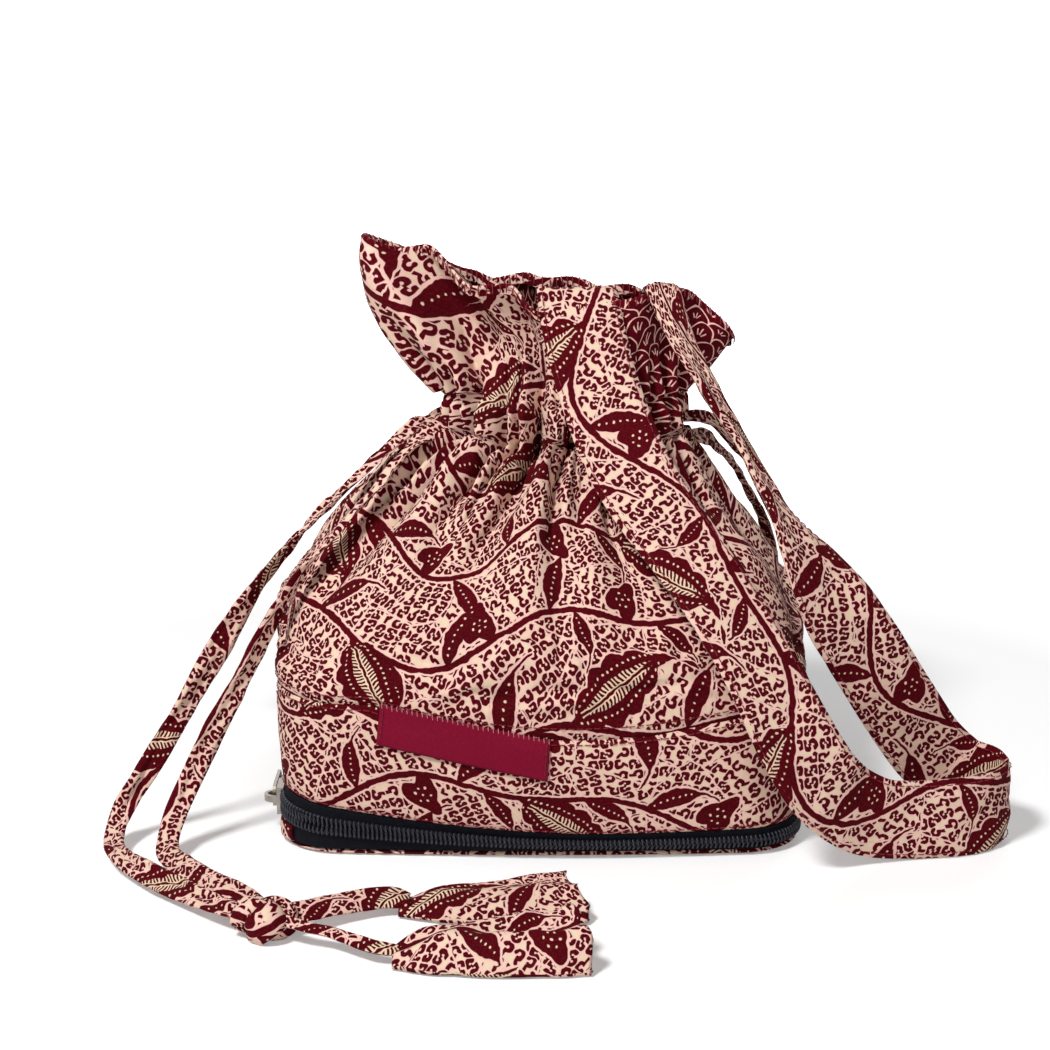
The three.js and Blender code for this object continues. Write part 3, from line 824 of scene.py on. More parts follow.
LEFT_INNER_ROUTE = (
    ((-26.5, -11, 131.5), (0, 1, 0.3)),
    ((-34, -15.5, 131), (0.1, 0.9, 0.3)),
    ((-43, -26, 127.5), (0.2, 0.9, 0.3)),
    ((-55, -36, 115.5), (0.3, 0.9, 0.3)),
    ((-68, -45, 102), (0.4, 0.7, 0.5)),
    ((-79, -53, 90), (0.5, 0.6, 0.5)),
    ((-89, -58, 75), (0.6, 0.6, 0.5)),
    ((-98, -62, 58), (0.7, 0.4, 0.4)),
    ((-107, -64, 41), (0.8, 0.3, 0.3)),
    ((-115, -67, 25), (0.8, 0.2, 0.3)),
    ((-121, -73, 12), (0.8, 0.4, 0.3)),
    ((-122, -84, 5.5), (0.8, 0.4, 0.3)),
    ((-115, -98, 5), (0.6, 0.5, 0.5)),
    ((-104, -112, 5), (0.4, 0.6, 0.6)),
    ((-95, -122.5, 5.3), (0.5, 0.6, 0.5)),
    ((-89.5, -131.6, 5.8), (0.7, 0.5, 0.4)),
    ((-85.5, -139, 6.2), (0.7, 0.5, 0.4)),
)
RIGHT_OUTER_ROUTE = (
    ((44, 1, 131.8), (0, 1, 0.3)),
    ((53, 2, 131.5), (0, 1, 0.3)),
    ((60, 6, 129.5), (0, 1, 0.3)),
    ((69, 12, 119), (-0.3, 0.9, 0.3)),
    ((79, 20, 106), (-0.5, 0.7, 0.5)),
    ((88, 31, 91), (-0.6, 0.6, 0.5)),
    ((95, 44, 74), (-0.7, 0.4, 0.5)),
    ((98, 58, 55), (-0.6, 0.4, 0.5)),
    ((98, 73, 36), (-0.4, 0.4, 0.7)),
    ((91, 88, 18), (-0.2, 0.5, 0.8)),
    ((77, 100, 6.5), (0.1, 0.6, 0.8)),
    ((58, 108, 5), (0.1, 0.6, 0.8)),
    ((37, 109, 5), (0.1, 0.6, 0.8)),
    ((17, 105, 5), (0.1, 0.6, 0.8)),
    ((-2.2, 102, 5.8), (0.1, 0.8, 0.5)),
    ((-10.5, 99.5, 6.2), (0.1, 0.8, 0.5)),
)
RIGHT_INNER_ROUTE = (
    ((43, 3, 126.2), (0, 1, 0.3)),
    ((53, 6, 123.8), (0, 1, 0.3)),
    ((60, 16, 121), (0, 1, 0.3)),
    ((67, 27, 112), (-0.3, 0.9, 0.3)),
    ((75, 38, 99), (-0.5, 0.7, 0.5)),
    ((82, 49, 85), (-0.6, 0.6, 0.5)),
    ((87, 60, 68), (-0.6, 0.5, 0.5)),
    ((88, 71, 49), (-0.4, 0.5, 0.6)),
    ((82, 84, 28), (-0.3, 0.5, 0.7)),
    ((68, 93, 12), (0, 0.6, 0.8)),
    ((50, 97, 5.5), (0.1, 0.6, 0.8)),
    ((31, 97, 5), (0.1, 0.6, 0.8)),
    ((14, 96, 5), (0.1, 0.6, 0.8)),
    ((-2.2, 92.5, 5.8), (0.1, 0.8, 0.5)),
    ((-10, 95.5, 6.2), (0.1, 0.8, 0.5)),
)
TAIL_ROUTES = {
    "left_tail_upper": (
        ((-80, -141.5, 6.5), (0, 0.9, 0.4)),
        ((-72, -137.5, 6), (0, 0.9, 0.4)),
        ((-63, -131, 5.5), (0, 0.9, 0.4)),
        ((-55, -126.3, 5), (0, 0.9, 0.4)),
        ((-50, -124.5, 5), (0, 0.9, 0.4)),
        ((-45.4, -124, 4.8), (0, 0.9, 0.4)),
        ((-41, -123.8, 4), (0, 1, 0.1)),
    ),
    "left_tail_lower": (
        ((-80, -145, 6.5), (0, 0.9, 0.4)),
        ((-72, -149.5, 6), (0, 0.9, 0.4)),
        ((-63, -153, 5.5), (0, 0.9, 0.4)),
        ((-55, -158.6, 5), (0, 0.9, 0.4)),
        ((-50, -162.2, 5), (0, 0.9, 0.4)),
        ((-45.4, -163, 4.6), (0, 0.9, 0.4)),
        ((-41, -163.2, 3.8), (0, 1, 0.1)),
    ),
    "right_tail_upper": (
        ((-18, 99.5, 6.8), (0, 0.9, 0.4)),
        ((-26, 102, 7), (0, 0.9, 0.4)),
        ((-34, 105, 9), (0, 0.9, 0.4)),
        ((-42.5, 106, 9.4), (0, 0.9, 0.4)),
        ((-47, 106, 9.8), (0, 1, 0.1)),
    ),
    "right_tail_lower": (
        ((-18, 95, 6), (0, 0.9, 0.4)),
        ((-26, 92.5, 5.5), (0, 0.9, 0.4)),
        ((-34, 91, 4.6), (0, 0.9, 0.4)),
        ((-42.5, 93, 4.2), (0, 0.9, 0.4)),
        ((-47, 93.2, 3.6), (0, 1, 0.1)),
    ),
}


def knot_object(name, middle, seed):
    """A soft overhand knot: one flat band wound through itself, pulled into a flattened lump."""
    half_x, half_y, half_z = KNOT_HALF
    turns = np.linspace(0, TURN, 140, endpoint=False)
    x = (np.sin(turns) + 2 * np.sin(2 * turns)) / 3
    y = (np.cos(turns) - 2 * np.cos(2 * turns)) / 3
    z = -np.sin(3 * turns)
    line = np.column_stack([x * half_x * 0.78, y * half_y * 0.66, z * half_z * 0.36])
    ways = unit(np.roll(line, -1, axis=0) - np.roll(line, 1, axis=0))
    reach = along(line)
    angles = TURN * np.arange(15) / 14
    rows = []
    for i, way in enumerate(ways):
        out = unit(line[i]) + np.array([0, 0, 0.25])
        out = unit(out - way * np.dot(out, way))
        side = np.cross(way, out)
        ring = []
        for a in angles[:-1]:
            pull = 1 + 0.18 * ruffle_noise(i * 0.11, math.cos(a) * 2, seed + math.sin(a) * 2)
            wide = side * math.cos(a) * half_y * 0.54 * pull
            high = out * math.sin(a) * half_z * 0.38 * pull
            ring.append(line[i] + wide + high + np.array(middle))
        rows.append(ring)
    cloth = np.zeros((len(rows) + 1, 15, 2))
    cloth[:, :, 0] = np.append(reach, reach[-1])[:, None]
    cloth[:, :, 1] = angles / TURN * 0.026
    return grid_object(name, np.array([*rows, rows[0]]), cloth)


def ring_places(points, drawn, start, middle):
    """Places on the print for closed rings of points: how far along each ring is, and the true
    length round the ring from its middle point."""
    rings = np.concatenate([points, points[:, :1]], axis=1)
    grid = np.zeros((len(rings), rings.shape[1], 2))
    grid[:, :, 0] = drawn[:, None]
    grid[:, 1:, 1] = np.cumsum(np.linalg.norm(np.diff(rings, axis=1), axis=2), axis=1)
    grid[:, :, 1] += start - grid[:, middle : middle + 1, 1]
    return grid


def end_object(name, start, end, low, high, seed, print_at):
    """A flared end: doubled cloth that widens from the tail, puffed in its middle, with a hem
    that is cut aslant and creased."""
    shares = np.linspace(0, 1, 46)
    sides = np.linspace(-1, 1, 27)
    widths = np.interp(shares, [0, 0.12, 0.45, 0.85, 1], [4.5, 9, 13.5, 15, 14.5]) * MM
    widths = np.convolve(np.pad(widths, 3, mode="edge"), np.ones(7) / 7, mode="valid")
    side_way = 1 if end[0] > start[0] else -1
    tall = high - low
    puffed = tall / 0.0063
    rows = []
    for share, half in zip(shares, widths):
        cx = start[0] + (end[0] - start[0]) * share
        cy = start[1] + (end[1] - start[1]) * share
        mouth = (0.62 + 0.38 * share) * (0.3 + 0.7 * min(share / 0.22, 1) ** 0.7)
        top = []
        bottom = []
        for side in sides:
            slant = -0.0045 * share**4 * (1 + side) - 0.002 * share**6 * abs(math.sin(side * 4.2))
            x = cx + side_way * slant
            y = cy + side * half + 0.0006 * ruffle_noise(share * 8, side, seed + 7)
            fold = 0.00075 * math.sin(side * 7 + share * 2 + seed) * (0.35 + share) * puffed**0.5
            fold += 0.0011 * ruffle_noise(share * 4.5, side * 1.8, seed) * puffed
            crown = tall * (1 - abs(side) ** 4) * mouth * 0.85 + fold * (1 - abs(side) ** 6)
            edge = 0.0012 + 0.0004 * ruffle_noise(share * 6, side * 2, seed + 3)
            lower = low + 0.0002 + max(0, 0.0006 * ruffle_noise(share * 5, side * 2, seed + 5))
            top.append((x, y, max(low + edge + crown, lower + 0.0006)))
            bottom.append((x, y, lower))
        rows.append(top + bottom[::-1])
    points = np.array(rows)[:, ::side_way]
    cloth = ring_places(points, shares * 0.06 + print_at[0], print_at[1], len(sides) // 2)
    inner = points[-1:] - np.array([side_way * 0.004, 0, 0])
    inner = inner + (inner.mean(axis=1, keepdims=True) - inner) * np.array([0, 0.04, 0.5])
    points = np.concatenate([shut(points[:1]), points, inner, shut(inner)])
    step = np.array([0.004, 0])
    cloth = np.array([cloth[0] - step, *cloth, cloth[-1] + step, cloth[-1] + step * 2.5])
    return grid_object(name, points, cloth)


LEFT_KNOT = (-0.084, -0.143, 0.0062)
RIGHT_KNOT = (-0.014, 0.098, 0.0062)
KNOT_HALF = (0.011, 0.0095, 0.0059)

# Flared ends: where each starts and ends, its lowest and highest point, seed, place on the print
FLARED_ENDS = (
    ("left_end_upper", (-0.0445, -0.124), (0.016, -0.120), 0.0003, 0.0080, 1.3, (0.02, 0.02)),
    ("left_end_lower", (-0.0445, -0.163), (0.016, -0.158), 0.0003, 0.0138, 4.1, (0.31, 0.11)),
    ("right_end_upper", (-0.0435, 0.106), (-0.104, 0.103), 0.0070, 0.0125, 2.2, (0.1, 0.2)),
    ("right_end_lower", (-0.0435, 0.094), (-0.104, 0.097), 0.0003, 0.0060, 6.4, (0.2, 0.3)),
)

# Ribbons: name, route, the side whose knot and ends go with it, and seed
RIBBONS = (
    ("left_ribbon_outer", LEFT_OUTER_ROUTE, "left", 1.9),
    ("left_ribbon_inner", LEFT_INNER_ROUTE, None, 7.7),
    ("right_ribbon_outer", RIGHT_OUTER_ROUTE, "right", 3.3),
    ("right_ribbon_inner", RIGHT_INNER_ROUTE, None, 5.9),
)


def add_strap():
    """The shoulder strap, with a row of stitches along both edges of both its faces."""
    strap, (reach, middle, across, face, shown) = band_object(
        "shoulder_strap_cloth",
        STRAP_ROUTE,
        STRAP_WIDE,
        BAND_THICK,
        3.1,
        0.0011,
        (0.21, 0.03),
        folded=STRAP_FOLDED,
    )
    half = (STRAP_WIDE / 2 * shown - 0.0017)[:, None]
    lines = []
    for side in (-1, 1):
        for out in (-1, 1):
            lines.append((middle + across * side * half + face * out * 0.00085, face * out))
    threads = stitch_rows("strap_stitching", lines)
    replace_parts(strap, "shoulder_strap")


def add_knots_and_ends():
    """The knots, tails and flared ends, as a list for each side."""
    pieces = {}
    for side, knot, seed in (("left", LEFT_KNOT, 2.3), ("right", RIGHT_KNOT, 5.1)):
        lump = knot_object(f"{side}_knot_cloth", knot, seed)
        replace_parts(lump, f"{side}_knot")
        pieces[side] = [lump]
    for name, route in TAIL_ROUTES.items():
        wide = RIBBON_WIDE * (0.5 if name == "left_tail_lower" else 1)
        seed = len(name)
        tail, _ = band_object(f"{name}_cloth", route, wide, TAIL_THICK, seed, 0.0008, (0.4, 0.1), 0.15)
        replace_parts(tail, name)
        pieces[name.split("_")[0]].append(tail)
    for name, *shape in FLARED_ENDS:
        piece = end_object(f"{name}_cloth", *shape)
        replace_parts(piece, name)
        pieces[name.split("_")[0]].append(piece)
    return pieces


def add_ribbons(ends):
    """The four drawstring ribbons, from the casing to the knots."""
    for name, route, side, seed in RIBBONS:
        print_at = (seed * 0.05, seed * 0.01)
        ribbon, (reach, middle, *_) = band_object(
            f"{name}_cloth", route, RIBBON_WIDE, BAND_THICK, seed, 0.0014, print_at, 0.3
        )
        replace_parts(ribbon, name)


# The pouch itself


def smooth(knots, values, wanted):
    """A smooth curve through values at knots."""
    knots, values = np.array(knots, float), np.array(values, float)
    slopes = np.gradient(values, knots)
    i = np.clip(np.searchsorted(knots, wanted, side="right") - 1, 0, len(knots) - 2)
    gap = knots[i + 1] - knots[i]
    f = (wanted - knots[i]) / gap
    return hermite(f, values[i], values[i + 1], slopes[i] * gap, slopes[i + 1] * gap)


def round_smooth(knots, values, shares):
    """A smooth closed curve through values at these shares of a turn."""
    knots, values = np.array(knots), np.array(values, float)
    long_knots = np.concatenate([knots[-3:] - 1, knots, knots[:3] + 1])
    long_values = np.concatenate([values[-3:], values, values[:3]])
    return smooth(long_knots, long_values, shares % 1)


def all_round(count=BODY_COLUMNS):
    """Even shares of a whole turn, from the back middle round by the front middle, which is 0."""
    return np.arange(count) / count - 0.5


def nearby(shares, place):
    """How far each share of a turn is from a place, the short way round."""
    return (shares - place + 0.5) % 1 - 0.5


def plan_curve(half_x, half_y, corner, bow, shares):
    """Points on a rounded rectangle with a bowed front and back, at shares of the way round it
    from the front middle, anticlockwise."""
    shares = shares % 1
    quarter = np.linspace(0, math.pi / 2, 19)
    xs, ys = [0.0], [-half_y]
    for x_way, y_way, quarters in ((1, -1, -1), (1, 1, 0), (-1, 1, 1), (-1, -1, 2)):
        angles = quarter + quarters * math.pi / 2
        xs.extend(x_way * (half_x - corner) + corner * np.cos(angles))
        ys.extend(y_way * (half_y - corner) + corner * np.sin(angles))
    xs, ys = np.array(xs + [0.0]), np.array(ys + [-half_y])
    reach = along(np.column_stack([xs, ys]))
    x = np.interp(shares * reach[-1], reach, xs)
    y = np.interp(shares * reach[-1], reach, ys)
    bowed = bow * (1 - (x / half_x) ** 2) * np.minimum(1, abs(y) / half_y)
    return x, y + np.sign(y) * bowed


def slump(x):
    """The share of the full sag at a place across the pouch: most right of the middle."""
    return 1 - np.minimum(1, ((x - 12) / 68) ** 2)


def lift(x):
    """The share of the full rise of the zip towards the left corner."""
    return np.maximum(0, (20 - x) / 106) ** 1.6


def hump(value, low, peak_low, peak_high, high):
    """0 below low and above high, 1 between the peaks, and smooth between them."""
    up = np.clip((value - low) / (peak_low - low), 0, 1)
    down = np.clip((high - value) / (high - peak_high), 0, 1)
    both = np.minimum(up, down)
    return both * both * (3 - 2 * both)


def random_wave(shares, low, high, seed):
    """A smooth random wave round the pouch, from -1 to 1, of low to high whole turns."""
    rng = np.random.default_rng(seed)
    total = np.zeros_like(shares)
    for turns in range(low, high + 1):
        total += rng.normal() * np.cos(TURN * (turns * shares + rng.random()))
    return total / np.abs(total).max()


def crumples(rows, scale, finer, share, up=0):
    """Random bumps over rows of points, with finer ones added at a share of their height."""
    found = np.zeros(rows.shape[:2])
    for r, c in np.ndindex(found.shape):
        x, y, z = rows[r, c] * scale
        found[r, c] = ruffle_noise(x, y, z + up)
        found[r, c] += share * ruffle_noise(x * finer, y * finer, z * finer)
    return found


def normals_of(points):
    """The direction out of a closed set of rows at each point."""
    round_way = np.roll(points, -1, axis=1) - np.roll(points, 1, axis=1)
    return unit(np.cross(round_way, np.gradient(points, axis=0)))


# Levels of the pouch, in millimetres: height, half sizes, corner, bow, sag and middle
BODY_LEVELS = (
    (53, 88, 76, 24, 8, 11, 0),
    (64, 88, 76, 28, 7, 6, 0),
    (76, 86.5, 74, 33, 5, 2, 0),
    (88, 81, 69, 38, 4, 0, 0),
    (98, 74, 62, 42, 2, 0, 0),
    (108, 65, 53, 42, 1, 0, 0),
    (118, 54, 44, 38, 0, 0, 2),
    (125, 45, 38, 34, 0, 0, 5),
    (130, 40, 34, 32, 0, 0, 8),
    (142, 40, 34, 32, 0, 0, 8),
)

# The two rows of stitches that hold the ribbons' casing, in millimetres up the pouch
CASING_LINES = (129, 142)

# The rim of the mouth, in millimetres: share round, place, and how far the frill bellies out
RIM = (
    (0.000, (4, -30, 173), -4),
    (0.045, (16, -30, 176), -2),
    (0.090, (29, -29, 177), 0),
    (0.130, (41, -22, 179), -2),
    (0.165, (51, -11, 177), -2),
    (0.205, (60, -5, 168), 0),
    (0.235, (66, 0, 160), 3),
    (0.275, (59, 9, 161), 6),
    (0.330, (46, 20, 168), 2),
    (0.400, (30, 17, 175), -1),
    (0.470, (14, 23, 177), 2),
    (0.540, (-2, 17, 178), -1),
    (0.610, (-18, 21, 179), 3),
    (0.680, (-34, 13, 184), 4),
    (0.740, (-50, 6, 191), 9),
    (0.775, (-58.5, -4, 195.5), 13),
    (0.805, (-56, -14, 195), 15),
    (0.835, (-47, -21, 192.5), 4),
    (0.880, (-33, -28, 188), -11),
    (0.920, (-20, -32, 183), -13),
    (0.960, (-8, -32, 177), -10),
)

# Folds of the frill: share round at the neck and at the rim, how far out, and how wide
FRILL_FOLDS = (
    (0.850, 0.812, 7.0, 0.013),
    (0.885, 0.846, -9.5, 0.022),
    (0.925, 0.905, 2.5, 0.014),
    (0.955, 0.950, -4.0, 0.014),
    (0.990, 0.985, 2.0, 0.012),
    (0.780, 0.765, 3.0, 0.012),
    (0.730, 0.735, -4.0, 0.014),
    (0.660, 0.680, 3.0, 0.014),
    (0.600, 0.610, -3.5, 0.016),
    (0.520, 0.540, 3.0, 0.016),
    (0.430, 0.440, -3.5, 0.018),
    (0.350, 0.350, 3.0, 0.016),
    (0.290, 0.290, -3.0, 0.012),
    (0.200, 0.215, 2.5, 0.012),
    (0.150, 0.150, -3.0, 0.014),
)

# Deep folds that run down from the neck: share round, depth, how wide, and how low they reach
MAIN_FOLDS = (
    (-0.460, 6.5, 0.011, 78),
    (-0.390, 5.0, 0.009, 90),
    (-0.320, 6.5, 0.011, 76),
    (-0.245, 5.0, 0.009, 86),
    (-0.185, 6.0, 0.010, 74),
    (-0.130, 5.0, 0.008, 88),
    (-0.085, 6.5, 0.010, 70),
    (-0.042, 6.5, 0.008, 80),
    (-0.010, 5.5, 0.007, 90),
    (0.022, 7.0, 0.009, 72),
    (0.060, 5.0, 0.007, 90),
    (0.100, 7.0, 0.010, 68),
    (0.150, 5.0, 0.008, 88),
    (0.205, 6.5, 0.011, 74),
    (0.270, 5.0, 0.009, 88),
    (0.335, 6.5, 0.011, 76),
    (0.405, 5.0, 0.009, 90),
)


def body_rows(shares):
    """Rows of points from the seam up to the top of the drawn neck, in millimetres, unpleated."""
    wanted = np.linspace(0, len(BODY_LEVELS) - 1, BODY_ROWS)
    columns = [smooth(range(len(BODY_LEVELS)), values, wanted) for values in zip(*BODY_LEVELS)]
    rows = []
    for z, half_x, half_y, corner, bow, sag, middle in zip(*columns):
        x, y = plan_curve(half_x, half_y, min(corner, half_y - 0.5), bow, shares)
        rows.append(np.column_stack([x + middle, y, z - sag * slump(x)]))
    return np.array(rows)


def frill_rows(collar, shares):
    """Rows from the drawn neck up to the rim, in millimetres."""
    knots, places, bellies = zip(*RIM)
    rim = np.column_stack([round_smooth(knots, values, shares) for values in zip(*places)])
    belly = round_smooth(knots, bellies, shares)
    outward = unit(collar[:, :2] - np.array([8, 0]))
    rows = []
    for t in np.linspace(0, 1, FRILL_ROWS + 1)[1:]:
        ease = t**1.25
        row = collar * (1 - ease) + rim * ease
        row[:, 2] = collar[:, 2] + (rim[:, 2] - collar[:, 2]) * t
        row[:, :2] += outward * (belly * 4 * t * (1 - t) * 0.9)[:, None]
        rows.append(row)
    return np.array(rows)


def frill_folds(shares, rim_share):
    """How far the folds of the frill push each point out, in millimetres."""
    total = np.zeros((len(rim_share), len(shares)))
    for i, up in enumerate(rim_share):
        full = up**0.6 * (1 - 0.55 * up) * 1.6
        for low, high, far, wide in FRILL_FOLDS:
            away = nearby(shares, low + (high - low) * up)
            total[i] += far * full * np.exp(-((away / (wide * (0.6 + 0.7 * up))) ** 2))
    return total


def pleats(shares, heights, rim_share):
    """How far each point is pushed in or out by the gathers, in millimetres. heights is how high
    each row is before the frill, and rim_share how far up the frill it is."""
    total = np.zeros((len(heights), len(shares)))
    fine_phase = 31 * shares + 0.6 * random_wave(shares, 3, 14, 5)
    fine = np.abs(np.sin(math.pi * fine_phase)) ** 0.8 * 2 - 1.35
    fine *= 0.85 + 0.5 * random_wave(shares, 4, 15, 8)
    broad_phase = 14 * shares + 0.45 * random_wave(shares, 2, 8, 21)
    broad = np.abs(np.sin(math.pi * broad_phase)) * 2 - 1.3
    broad *= 0.8 + 0.4 * random_wave(shares, 3, 9, 22)
    soft = random_wave(shares, 3, 9, 31)
    pucker = np.abs(np.sin(math.pi * (52 * shares + 0.3 * random_wave(shares, 5, 20, 41))))
    for i, (height, up) in enumerate(zip(heights, rim_share)):
        at_neck = hump(height, 100, 124, 143, 160) * max(0, 1 - up * 1.7) ** 1.3
        on_shoulder = hump(height, 64, 112, 132, 150) * max(0, 1 - up * 1.2)
        lower = hump(height, 52, 78, 110, 128)
        fade = hump(height, 50, 66, 200, 300) * (1 - up * 0.6)
        total[i] += fine * 5.0 * at_neck + broad * 4.0 * on_shoulder**1.2
        total[i] += soft * (1.2 * lower + 0.9 * fade)
        for place, depth, wide, reach in MAIN_FOLDS:
            away = nearby(shares, place) + 0.006 * math.sin(height * 0.09 + place * 40)
            down = min(max((height - reach) / (126 - reach), 0), 1) ** 1.2
            spread = wide * (0.75 + 0.9 * (1 - down))
            fold = np.exp(-((away / spread) ** 2)) - 0.35 * np.exp(-((away / (spread * 2.2)) ** 2))
            total[i] -= depth * down * max(0, 1 - up * 1.6) * fold
        if up < 0.05:
            for line in CASING_LINES:
                total[i] -= math.exp(-(((height - line) / 1.6) ** 2)) * (1.7 + 1.5 * pucker)
    return total


def pouch_surface():
    """Rows of the whole outside from the seam to the rim, in metres, and their outward normals."""
    shares = all_round()
    lower = body_rows(shares)
    rows = np.concatenate([lower, frill_rows(lower[-1], shares)])
    heights = np.concatenate([lower[:, :, 2].mean(axis=1), np.full(FRILL_ROWS, 143.0)])
    rim_share = np.concatenate([np.zeros(BODY_ROWS), np.linspace(0, 1, FRILL_ROWS + 1)[1:]])
    out = normals_of(rows)
    rows = rows + out * (pleats(shares, heights, rim_share) + frill_folds(shares, rim_share))[:, :, None]
    ruffle = random_wave(shares, 9, 17, 51)[None, :] * (rim_share**1.6)[:, None] * 1.5
    rows = rows + out * ruffle[:, :, None]
    rows = rows + out * (crumples(rows, 0.05, 2.6, 0.5) * 0.75)[:, :, None]
    seam = np.exp(-np.arange(len(rows)) / 1.1)
    rows = rows - out * (seam * 1.3)[:, None, None]
    return rows * MM, normals_of(rows)


def cloth_places(points, round_length, start_u, start_v):
    """Each point's place on the print: even shares of the cloth's length round the row, which may
    differ from row to row, and the mean length up the columns."""
    rows, columns, _ = points.shape
    steps = np.linalg.norm(np.diff(points, axis=0), axis=2).mean(axis=1)
    rise = np.concatenate([[0], np.cumsum(steps)])
    shares = np.arange(columns + 1) / columns - 0.5
    grid = np.zeros((rows, columns + 1, 2))
    grid[:, :, 0] = np.outer(np.broadcast_to(round_length, rows), shares) + start_u
    grid[:, :, 1] = (rise + start_v)[:, None]
    return grid


# The hem turned over the rim: how far up and how far out each of its rows is, in millimetres
HEM = ((0.3, -0.25), (0.4, -0.5), (0.2, -0.9), (-3.5, -1.0))

# The stretch of the frill that is cut from the second print, in shares round
SCALES_FROM, SCALES_TO = 0.055, 0.36


def add_body(points, out):
    """The outside of the pouch, with a hem that turns over the rim. The right of the frill is cut
    from the second print."""
    over = [points[-1] + (out[-1] * inward + (0, 0, rise)) * MM for rise, inward in HEM]
    body = points[: NECK_ROW + 1]
    frill = np.concatenate([points[NECK_ROW:], np.array(over)])
    drawn = np.linspace(0, 1, NECK_ROW + 1)
    lengths = PRINT_ROUND - 0.17 * np.clip((drawn - 0.35) / 0.6, 0, 1) ** 1.5
    piece = grid_object("pouch_cloth", body, cloth_places(body, lengths, 0.007, 0.004))
    top = grid_object("frill_cloth", frill, cloth_places(frill, 0.36, 0.02, 0.09))
    top.data.materials.append(SCALES)
    share = (np.arange(len(top.data.polygons)) % BODY_COLUMNS) / BODY_COLUMNS - 0.5
    chosen = (share > SCALES_FROM) & (share < SCALES_TO)
    top.data.polygons.foreach_set("material_index", chosen.astype(int))
    settled = settle(piece, 3, NECK_ROW - 12)
    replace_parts(piece, "pouch_body", "left_casing_ribbon", "right_casing_ribbon")
    wound = add_overlock(closed(points[-1]), closed(out[-1]))
    sewn = stitch_rows("seam_stitching", [(closed(points[3] + out[3] * 0.0003), closed(out[3]))])
    return np.concatenate([settled.reshape(body.shape), points[NECK_ROW + 1 :]])


# How the body's cloth behaves while it settles
SETTLING = {
    "quality": 6,
    "mass": 0.08,
    "tension_stiffness": 18,
    "compression_stiffness": 18,
    "shear_stiffness": 6,
    "bending_stiffness": 0.35,
    "tension_damping": 12,
    "compression_damping": 12,
    "shear_damping": 12,
    "air_damping": 4,
    "shrink_min": -0.03,
    "vertex_group_mass": "held",
    "pin_stiffness": 2,
}
SETTLE_FRAMES = 10
SETTLE_LIMIT = 0.0035


def settle(piece, first, last):
    """Lets the cloth between two of its rows buckle and hang of itself: it is given a little more
    width than its shape holds, while the rows outside stay where they are."""
    count = len(piece.data.vertices)
    still = np.empty(count * 3)
    piece.data.vertices.foreach_get("co", still)
    row = np.arange(count) // BODY_COLUMNS
    held = piece.vertex_groups.new(name="held")
    slack = np.minimum(row - first, last - row) / 6.0
    for share, above, upto in ((1.0, -np.inf, 0), (0.6, 0, 0.4), (0.3, 0.3, 0.7)):
        chosen = np.where((slack <= upto) & (slack > above))[0]
        held.add(chosen.tolist(), share, "REPLACE")
    cloth = piece.modifiers.new("cloth", "CLOTH")
    for name, value in SETTLING.items():
        setattr(cloth.settings, name, value)
    cloth.settings.effector_weights.gravity = 0.25
    for frame_number in range(1, SETTLE_FRAMES + 1):
        bpy.context.scene.frame_set(frame_number)
    seen = piece.evaluated_get(bpy.context.evaluated_depsgraph_get())
    moved = np.empty(count * 3)
    seen.data.vertices.foreach_get("co", moved)
    shift = (moved - still).reshape(-1, 3)
    far = np.linalg.norm(shift, axis=1)
    shift *= np.minimum(1, SETTLE_LIMIT / np.maximum(far, 1e-9))[:, None]
    piece.modifiers.remove(cloth)
    piece.vertex_groups.remove(held)
    bpy.context.scene.frame_set(1)
    piece.data.vertices.foreach_set("co", still + shift.ravel())
    piece.data.update()
    return still + shift.ravel()


def add_overlock(edge, way):
    """Thread wound over the edge of the rim, a stitch every two millimetres or so."""
    reach = along(edge)
    count = int(reach[-1] / 0.0024)
    lines = []
    for k in range(count):
        at = (k + 0.25 * ruffle_noise(k * 0.9, 4.0, 0.5)) * reach[-1] / count
        place = between(at, reach, edge)
        face = unit(between(at, reach, way))
        stops = ((-2.2, 0.2), (-0.3, 0.3), (0.5, -0.4), (-0.4, -1.3), (-2.2, -1.3))
        lines.append(np.array([place + (face * out + (0, 0, up)) * MM for up, out in stops]))
    return threads_object("rim_overlock", lines, 0.00022, THREAD)


def band_rows(low, high, count, bow_low, bow_high, bulge):
    """Rows of points between two heights round the foot, in millimetres. low and high are each a
    height, its sag and its rise to the left."""
    rows = []
    for t in np.linspace(0, 1, count):
        wider = 2 * t**0.6
        bow = bow_low + (bow_high - bow_low) * t + bulge * 4 * t * (1 - t)
        x, y = plan_curve(FOOT_X + wider, FOOT_Y + wider, FOOT_CORNER + 6 * t, bow, all_round())
        z_low, z_high = (z - sag * slump(x) + rise * lift(x) for z, sag, rise in (low, high))
        rows.append(np.column_stack([x, y, z_low + (z_high - z_low) * t]))
    return np.array(rows)


def add_band():
    """The band of printed cloth between the zip and the seam."""
    rows = band_rows((9.0, 0, 9.9), (53.4, 11, 0), 44, 8.5, 8.0, 1.0)
    out = normals_of(rows)
    share = np.linspace(0, 1, len(rows))
    wrinkle = crumples(rows, 0.045, 3, 0.4, 9) * 0.8 * np.sin(math.pi * share)[:, None] ** 0.5
    rows = rows + out * wrinkle[:, :, None]
    tuck = np.exp(-(1 - share) * 34) * 1.6 + np.exp(-share * 40) * 0.9
    rows = rows - out * tuck[:, None, None]
    piece = grid_object("band_cloth", rows * MM, cloth_places(rows * MM, PRINT_ROUND, 0.052, 0.0575))
    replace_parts(piece, "lower_band")
    lines = [(closed((rows[r] + out[r] * 0.4) * MM), closed(out[r])) for r in (-3, 2)]
    sewn = stitch_rows("band_stitching", lines)
    return rows


